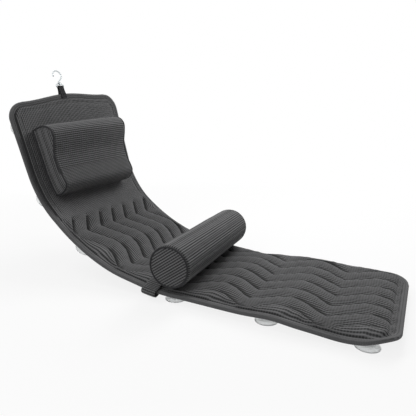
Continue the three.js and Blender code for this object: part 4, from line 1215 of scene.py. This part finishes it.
class BATHMAT_OT_roll(bpy.types.Operator):
    """Makes the leg roll: its cover, its end discs and the piping between them"""

    bl_idname = "bath_mat.roll"
    bl_label = "Leg roll"

    def execute(self, context):
        scene = context.scene
        roll, pipe = scene.bath_roll, scene.bath_pillow.piping
        matrix = roll_matrix(MatSurface(scene.bath_mat), roll)
        self.add_sleeve(scene, roll, pipe, matrix)
        piping = once(piping_cloth, "woven_piping", scene.bath_colours.piping)
        panel = cover_mesh(scene, "spacer_mesh_panel", "Y")
        for end, side in ENDS:
            self.add_disc(roll, pipe, matrix, side, end, panel)
            self.add_piping(roll, pipe, matrix, side, end, piping)
        return {"FINISHED"}

    def add_sleeve(self, scene, roll, pipe, matrix):
        turn = full_turn(roll.ribs * RIB_CELLS)
        around = turn * roll.radius
        half = roll.length / 2 - 2 * pipe - WELT_GAP
        y = cover_stations(half, [0, 0.0006, 0.0016, 0.003, 0.005, 0.0075], 48)
        from_end = (half - np.abs(y))[:, None]
        shoulder = 1 - np.clip(from_end / SHOULDER, 0, 1)
        sunk = (roll.ring_inset + SHOULDER_DROP) * (1 - np.sqrt(1 - shoulder**2))
        ribbed = ramp(from_end, *RIBS_FADE)
        spots = beside(roll.radius * np.cos(turn), roll.radius * np.sin(turn), y[:, None])
        slack = waver(spots, ROLL_SLACK, 2.0) * SLACK_HEIGHT
        grooves = (1 - rib(around, 2 * math.pi * roll.radius / roll.ribs)) * roll.rib_depth
        radius = roll.radius - SLEEVE_IN - sunk + (slack - grooves) * ribbed
        rings = beside(radius * np.cos(turn), y[:, None], radius * np.sin(turn))
        sleeve = add_cover("roll_cover", moved(rings, matrix), around, y,
                           cover_mesh(scene, "spacer_mesh_cover", "X"))
        finish_piece(sleeve, "leg_roll", "cover_mesh", "roll_core", "roll_sleeve")

    def add_piping(self, roll, pipe, matrix, side, end, material):
        turn, round_cord = full_turn(96), full_turn(12)
        ring = roll.radius - roll.ring_inset - pipe
        line = beside(ring * np.cos(turn), side * (roll.length / 2 - pipe), ring * np.sin(turn))
        rings = tube(line, pipe, len(round_cord), (0, 1, 0), closed=True)
        cloth = beside(roll.radius * turn[:, None], pipe * round_cord)
        made = add_piece(f"roll_welt_{end}", moved(rings, matrix), looped(rings), material, cloth)
        finish_piece(made, "leg_roll", "edging", f"roll_piping_{end}")

    def add_disc(self, roll, pipe, matrix, side, end, material):
        turn = full_turn(192)
        share = np.linspace(1, 0, 44)[:-1, None]
        reach = share * (roll.radius - roll.ring_inset - 2 * pipe - WELT_GAP)
        x, z = reach * np.cos(turn), reach * np.sin(turn)
        slanted = np.array([[math.cos(DISC_SLANT), -math.sin(DISC_SLANT)],
                            [math.sin(DISC_SLANT), math.cos(DISC_SLANT)]])
        ribs = rib((beside(x, z) @ slanted)[..., 1], DISC_RIB_PITCH)
        grooves = (1 - ribs) * DISC_RIB_DEPTH * np.clip((1 - share) * 8, 0, 1)
        out = roll.length / 2 - DISC_IN + DISC_BULGE * (1 - share**2) ** 0.7 - grooves
        inner = beside(x[:1], side * (roll.length / 2 - 2 * pipe), z[:1])
        points, faces = capped(np.concatenate([inner, beside(x, side * out, z)]))
        made = add_piece(f"roll_disc_{end}", moved(points, matrix), faces, material,
                         points[:, [0, 2]] @ slanted)
        finish_piece(made, "leg_roll", "cover_mesh", f"roll_end_{end}")


STRAP_GAP = 0.0006
# The strap's rise to the roll ends here, to both sides of the mat's middle.
STRAP_RISE_ENDS = (0.15, 0.176)


class BATHMAT_OT_strap(bpy.types.Operator):
    """Makes the mesh strap that goes round the mat under the roll"""

    bl_idname = "bath_mat.strap"
    bl_label = "Roll strap"

    def execute(self, context):
        scene = context.scene
        surface, roll = MatSurface(scene.bath_mat), scene.bath_roll
        top, edge = surface.size.crest_top + STRAP_GAP, surface.size.tape_top + STRAP_GAP
        line = smooth_line(self.path(surface, top, edge), 260, closed=True)
        outer = inset_line(line, -roll.strap_thickness)
        middle = (line + outer) / 2
        shares = np.linspace(0, 1, 13)
        roundness = np.sqrt(np.clip(1 - (2 * shares - 1) ** 8, 0.04, 1))
        # The foot edge comes up to the roll, where the strap lies on the mat.
        rise = self.rise(surface, roll, line[:, 0], top) * (line[:, 1] > edge + 0.003)
        faces = []
        for face in (line, outer):
            edged = [middle + (face - middle) * full for full in roundness]
            faces.append([surface.place(roll.strap_foot_end - roll.strap_width * (1 - share), p[:, 0],
                                        p[:, 1] + rise * share) for p, share in zip(edged, shares)])
        rings = np.stack([*faces[0], *faces[1][::-1]], 1)
        run = way_along(line)
        cloth = beside(np.concatenate([shares, shares[::-1]]) * roll.strap_width, run[:, None])
        material = mat_mesh(scene, "spacer_mesh_strap", False)
        strap = add_piece("roll_band", rings, looped(rings), material, cloth)
        finish_piece(strap, "leg_roll", "quilted_mesh", "roll_strap")
        return {"FINISHED"}

    def path(self, surface, top, edge):
        """The strap's inner line once round the mat: across it and out of it, from its near lower edge."""
        side = surface.half + 0.0004
        foot = surface.size.tape_bottom - 0.0004
        inner = surface.half - surface.size.tape_width - 0.004
        # At the near side the strap has some slack and stands off the tape.
        near = [(0.01 - side, foot), (-side - 0.006, foot - 0.004), (-side - 0.012, foot + 0.002),
                (-side - 0.009, edge - 0.001), (0.006 - side, edge + 0.003), (-inner, top - 0.001)]
        over = [(y, top) for y in np.linspace(0.01 - inner, inner - 0.01, 17)]
        far = [(inner, top - 0.001), (inner + 0.006, edge + 0.004), (side - 0.003, edge),
               (side, edge - 0.003), (side, foot + 0.003), (side - 0.004, foot)]
        under = [(y, foot) for y in np.linspace(side - 0.02, 0.02 - side, 9)]
        return near + over + far + under

    def rise(self, surface, roll, y, top):
        """How far the strap's foot edge comes up to meet the roll's underside."""
        to_roll = roll_matrix(surface, roll).inverted()
        foot, above = (moved(surface.place(roll.strap_foot_end, y, height), to_roll)[:, [0, 2]]
                       for height in (0.0, 1.0))
        out = above - foot
        steep = (out**2).sum(1)
        half = (foot * out).sum(1)
        rest = (foot**2).sum(1) - (roll.radius + STRAP_GAP) ** 2
        height = (-half - np.sqrt(np.clip(half**2 - steep * rest, 0, None))) / steep
        inside = 1 - ramp(np.abs(y), *STRAP_RISE_ENDS)
        return np.clip(height - roll.strap_thickness - top, 0, None) * inside


WEB_GAP = 0.0004
BAR_GAP = 0.0006
# Two rows of stitches across each leg of the webbing, from its end, how far they reach to each side, and
# how deep and wide a dent they make
WEB_STITCHES, WEB_STITCH_REACH = (0.004, 0.010), 0.008
WEB_DENT, WEB_DENT_WIDTH = 0.0003, 0.0007
# The webbing's edges are thinner by this share.
THIN_EDGE = 0.35


def hang_matrix(surface, hanger):
    """The hanging tab's frame: X across the mat, Y up past its top edge and Z out of it."""
    s = np.float64(-surface.arch(hanger.offset))
    along, across, out = (Vector(v) for v in surface.directions(s))
    return axes_matrix(across, -along, out, surface.place(s, hanger.offset, hanger.height))


class BATHMAT_OT_hanging_tab(bpy.types.Operator):
    """Makes the webbing tab at the top edge"""

    bl_idname = "bath_mat.hanging_tab"
    bl_label = "Hanging tab"

    def execute(self, context):
        scene = context.scene
        surface, hanger = MatSurface(scene.bath_mat), scene.bath_hanger
        path = self.path(surface.size, hanger)
        way = way_along(path)
        at = np.linspace(0, way[-1], 110)
        line = np.stack([np.interp(at, way, column) for column in path.T], -1)
        x = np.linspace(-0.5, 0.5, 21) * hanger.web_width
        at_edge = ramp(np.abs(x) / (hanger.web_width / 2), 0.85, 1.0)
        thick = hanger.web_thickness * (1 - THIN_EDGE * at_edge)
        rows = [*WEB_STITCHES, *(way[-1] - row for row in WEB_STITCHES)]
        from_row = np.abs(at[:, None] - rows).min(1)
        dent = WEB_DENT * np.exp(-(from_row / WEB_DENT_WIDTH) ** 2)
        matrix = hang_matrix(surface, hanger)
        top, bottom = [], []
        for place, full in zip(x, thick):
            outer = offset_line(line, full - dent * (abs(place) < WEB_STITCH_REACH))
            for face, edge in ((top, outer), (bottom, line)):
                face.append(moved(beside(place, edge[:, 1], edge[:, 0]), matrix))
        tab = add_slab("webbing_tab", np.array(top), np.array(bottom),
                       once(webbing_weave, "polypropylene_webbing", scene.bath_colours.webbing),
                       beside(at, x[:, None]))
        finish_piece(tab, "back", "webbing", "hanging_webbing")
        return {"FINISHED"}

    def path(self, size, hanger):
        """The webbing's inner line from its upper end over the loop's bar to its lower end: out, and up."""
        over, bar = hanger.web_overlap, hanger.bar_radius + BAR_GAP
        faces = (size.tape_top - hanger.height, hanger.height - size.tape_bottom)
        upper, lower = ([(gap, -over), (gap, -over * 0.6), (gap, -over * 0.2), (gap + 0.0002, 0.001),
                         (gap * 0.75, 0.006), (bar + 0.0003, 0.012), (bar, 0.018)]
                        for gap in (face + WEB_GAP for face in faces))
        bend = [(bar * math.cos(a), hanger.web_rise + bar * math.sin(a))
                for a in np.linspace(0, math.pi, 9)]
        return np.array(upper + bend + [(-out, up) for out, up in lower[::-1]])


def united(name, parts, matrix, material):
    """One closed piece from several closed bodies that overlap."""
    first, *others = [outward(add_piece(f"{name}_{i}", moved(points, matrix), faces))
                      for i, (points, faces) in enumerate(parts)]
    for other in others:
        union = first.modifiers.new("join", "BOOLEAN")
        union.object, union.operation, union.solver = other, "UNION", "EXACT"
        joined = first.evaluated_get(bpy.context.evaluated_depsgraph_get())
        mesh = bpy.data.meshes.new_from_object(joined)
        first.modifiers.clear()
        first.data = mesh
        bpy.data.objects.remove(other)
    first.name = name
    first.data.materials.clear()
    first.data.materials.append(material)
    first.data.shade_smooth()
    first.data.set_sharp_from_angle(angle=math.radians(50))
    return first


# The boss that the hook turns in: radii and heights over its middle
BOSS = [(0.00235, -0.002), (0.0043, -0.002), (0.0048, -0.0015), (0.0048, 0.0015), (0.0043, 0.002),
        (0.00235, 0.002)]
BOSS_RISE = 0.0095


class BATHMAT_OT_loop(bpy.types.Operator):
    """Makes the clear loop that hangs in the webbing tab"""

    bl_idname = "bath_mat.loop"
    bl_label = "Clear loop"

    def execute(self, context):
        scene = context.scene
        surface, hanger = MatSurface(scene.bath_mat), scene.bath_hanger
        rise = hanger.web_rise
        half = hanger.web_width / 2 + BAR_GAP + hanger.bar_radius
        middle = rise + BOSS_RISE
        bar = [(x * half, rise) for x in np.linspace(-0.8, 0.8, 9)]
        side = [(half * 0.96, rise + 0.0006), (half, rise + 0.0028), (half * 0.93, rise + 0.0055),
                (half * 0.68, rise + 0.0078), (0.004, middle)]
        path = bar + side + [(-x, y) for x, y in side[::-1]]
        line = smooth_line([(x, y, 0.0) for x, y in path], 120, closed=True)
        ring = tube(line, hanger.bar_radius, 16, (0, 0, 1), closed=True)
        turn = full_turn(32)
        boss = np.array([beside(r * np.cos(turn), middle + up, r * np.sin(turn)) for r, up in BOSS])
        parts = [(rings.reshape(-1, 3), looped(rings)) for rings in (ring, boss)]
        made = united("clear_loop", parts, hang_matrix(surface, hanger), clear_hard(scene))
        finish_piece(made, "loop", "clear_fitting", "strap_loop")
        return {"FINISHED"}


# The directions of the hook's bend from its middle, in degrees
HOOK_ARC = (-50, -20, 15, 50, 90, 130, 165, 195)


class BATHMAT_OT_hook(bpy.types.Operator):
    """Makes the clear hook, which turns on its pin"""

    bl_idname = "bath_mat.hook"
    bl_label = "Clear hook"

    def execute(self, context):
        scene = context.scene
        surface, hanger = MatSurface(scene.bath_mat), scene.bath_hanger
        foot = hanger.web_rise + BOSS_RISE - 0.002
        head, collar = foot - 0.00035, foot + 0.00435
        pin = [(0.0001, head - 0.0016), (0.0026, head - 0.0016), (0.0032, head - 0.001), (0.0032, head),
               (0.002, head), (0.002, collar), (0.0036, collar), (0.0038, collar + 0.0008),
               (0.0034, collar + 0.0018), (0.0024, collar + 0.0023), (0.0001, collar + 0.0023)]
        points, faces = turned(pin, 28)
        points = points[:, [0, 2, 1]] * [1, 1, -1]
        bend, centre = hanger.hook_radius, hanger.web_rise + hanger.hook_rise
        path = [(0, collar + 0.001, 0), (0, collar + 0.005, 0)]
        path += [(bend * math.cos(a), centre + bend * math.sin(a), 0) for a in np.radians(HOOK_ARC)]
        line = smooth_line(path, 90)
        # The wire thins to its tip, which has a small round bead.
        share = np.linspace(0, 1, len(line))
        tip = np.clip((share - 0.955) / 0.045, 0, 1)
        bead = 0.25 * np.exp(-((share - 0.95) / 0.02) ** 2)
        radius = hanger.wire_radius * ((1 - 0.12 * share) * np.sqrt(1 - 0.98 * tip**2) + bead)
        wire = capped(tube(line, radius, 16, (0, 0, 1)))
        made = united("clear_hook", [(points, faces), wire], hang_matrix(surface, hanger),
                      clear_hard(scene))
        finish_piece(made, "hook", "clear_fitting", "hook")
        return {"FINISHED"}


# The lamps: where they stand, their width and their power in watts. All of them face the mat's middle.
LAMPS = {
    "key": ((0.2, 1.8, 1.4), 0.8, 20),
    "side": ((-1.2, -0.6, 1.9), 0.8, 13),
    "top": ((0.1, 0.6, 1.2), 0.6, 5),
    "fill": ((-0.1, -1.8, 1.35), 1.1, 8),
}
LAMP_TARGET = Vector((0.0, 0.0, 0.15))
# How bright the studio is as a light, beside what the camera sees of it
STUDIO_LIGHT = 0.22
FLOOR_EDGE, FLOOR_DEPTH = 6.0, -0.0004
# The camera as it was fitted to the photograph: 414 of its 416 pixels are as long as the distance.
CAMERA_AT = (0.52094, -0.97726, 0.453)
CAMERA_TURN = (-27.48, 13.22, -0.86)
SENSOR, FOCAL_SHARE = 36.0, 414 / 416


class BATHMAT_OT_stage(bpy.types.Operator):
    """Makes the floor, the lights and the camera"""

    bl_idname = "bath_mat.stage"
    bl_label = "Stage"

    def execute(self, context):
        scene = context.scene
        scene.view_settings.view_transform = "Standard"
        self.add_floor(scene)
        self.add_studio(scene)
        for name, (place, width, power) in LAMPS.items():
            self.add_lamp(scene, name, place, width, power)
        self.add_camera(scene)
        return {"FINISHED"}

    def add_floor(self, scene):
        steps = np.linspace(-FLOOR_EDGE, FLOOR_EDGE, 3)
        points = beside(steps[:, None], steps, FLOOR_DEPTH)
        paper = stage_paper("seamless_paper", scene.bath_colours.floor)
        add_piece("floor", points, grid_faces(3, 3), paper)

    def add_studio(self, scene):
        scene.world = bpy.data.worlds.new("studio")
        scene.world.use_nodes = True
        tree = scene.world.node_tree
        tree.nodes.clear()
        strength = add_node(tree, "MapRange", Value=seen_itself(tree), To_Min=STUDIO_LIGHT, To_Max=1.0)
        light = add_node(tree, "Background", Strength=strength, Color=(1, 1, 1, 1))
        add_node(tree, "OutputWorld", light)

    def add_lamp(self, scene, name, place, width, power):
        data = bpy.data.lights.new(name, "AREA")
        data.shape, data.size, data.energy = "SQUARE", width, power
        lamp = bpy.data.objects.new(name, data)
        lamp.location = place
        lamp.rotation_euler = (LAMP_TARGET - Vector(place)).to_track_quat("-Z", "Y").to_euler()
        scene.collection.objects.link(lamp)

    def add_camera(self, scene):
        yaw, pitch, roll = (math.radians(turn) for turn in CAMERA_TURN)
        level = Vector((math.sin(yaw), math.cos(yaw), 0))
        ahead = level * math.cos(pitch) - Vector((0, 0, math.sin(pitch)))
        right = Vector((math.cos(yaw), -math.sin(yaw), 0))
        down = ahead.cross(right)
        side = right * math.cos(roll) + down * math.sin(roll)
        low = down * math.cos(roll) - right * math.sin(roll)
        data = bpy.data.cameras.new("camera")
        data.sensor_fit, data.sensor_width, data.lens = "HORIZONTAL", SENSOR, SENSOR * FOCAL_SHARE
        data.clip_start, data.clip_end = 0.05, 30.0
        camera = bpy.data.objects.new("camera", data)
        camera.matrix_world = axes_matrix(side, -low, -ahead, CAMERA_AT)
        scene.collection.objects.link(camera)
        scene.camera = camera


OPERATORS = (
    BATHMAT_OT_stage,
    BATHMAT_OT_pad,
    BATHMAT_OT_underside,
    BATHMAT_OT_edge_tape,
    BATHMAT_OT_cups,
    BATHMAT_OT_strips,
    BATHMAT_OT_pillow,
    BATHMAT_OT_roll,
    BATHMAT_OT_strap,
    BATHMAT_OT_hanging_tab,
    BATHMAT_OT_loop,
    BATHMAT_OT_hook,
)


class BATHMAT_PT_panel(bpy.types.Panel):
    """Lists the pieces of the mat and their sizes"""

    bl_idname = "BATHMAT_PT_panel"
    bl_label = "Bath mat"
    bl_space_type = "VIEW_3D"
    bl_region_type = "UI"
    bl_category = "Bath mat"

    def draw(self, context):
        for operator in OPERATORS:
            self.layout.operator(operator.bl_idname, text=operator.bl_label)
        for name, group in GROUPS.items():
            box = self.layout.box()
            box.label(text=group.__doc__)
            for key in group.__annotations__:
                box.prop(getattr(context.scene, name), key)


def register():
    for group in GROUPS.values():
        bpy.utils.register_class(group)
    for name, group in GROUPS.items():
        setattr(bpy.types.Scene, name, PointerProperty(type=group))
    for made in (*OPERATORS, BATHMAT_PT_panel):
        bpy.utils.register_class(made)


def unregister():
    for made in (BATHMAT_PT_panel, *reversed(OPERATORS)):
        bpy.utils.unregister_class(made)
    for name, group in reversed(GROUPS.items()):
        delattr(bpy.types.Scene, name)
        bpy.utils.unregister_class(group)


def main():
    register()
    for operator in OPERATORS:
        category, name = operator.bl_idname.split(".")
        getattr(getattr(bpy.ops, category), name)()


if __name__ == "__main__":
    main()
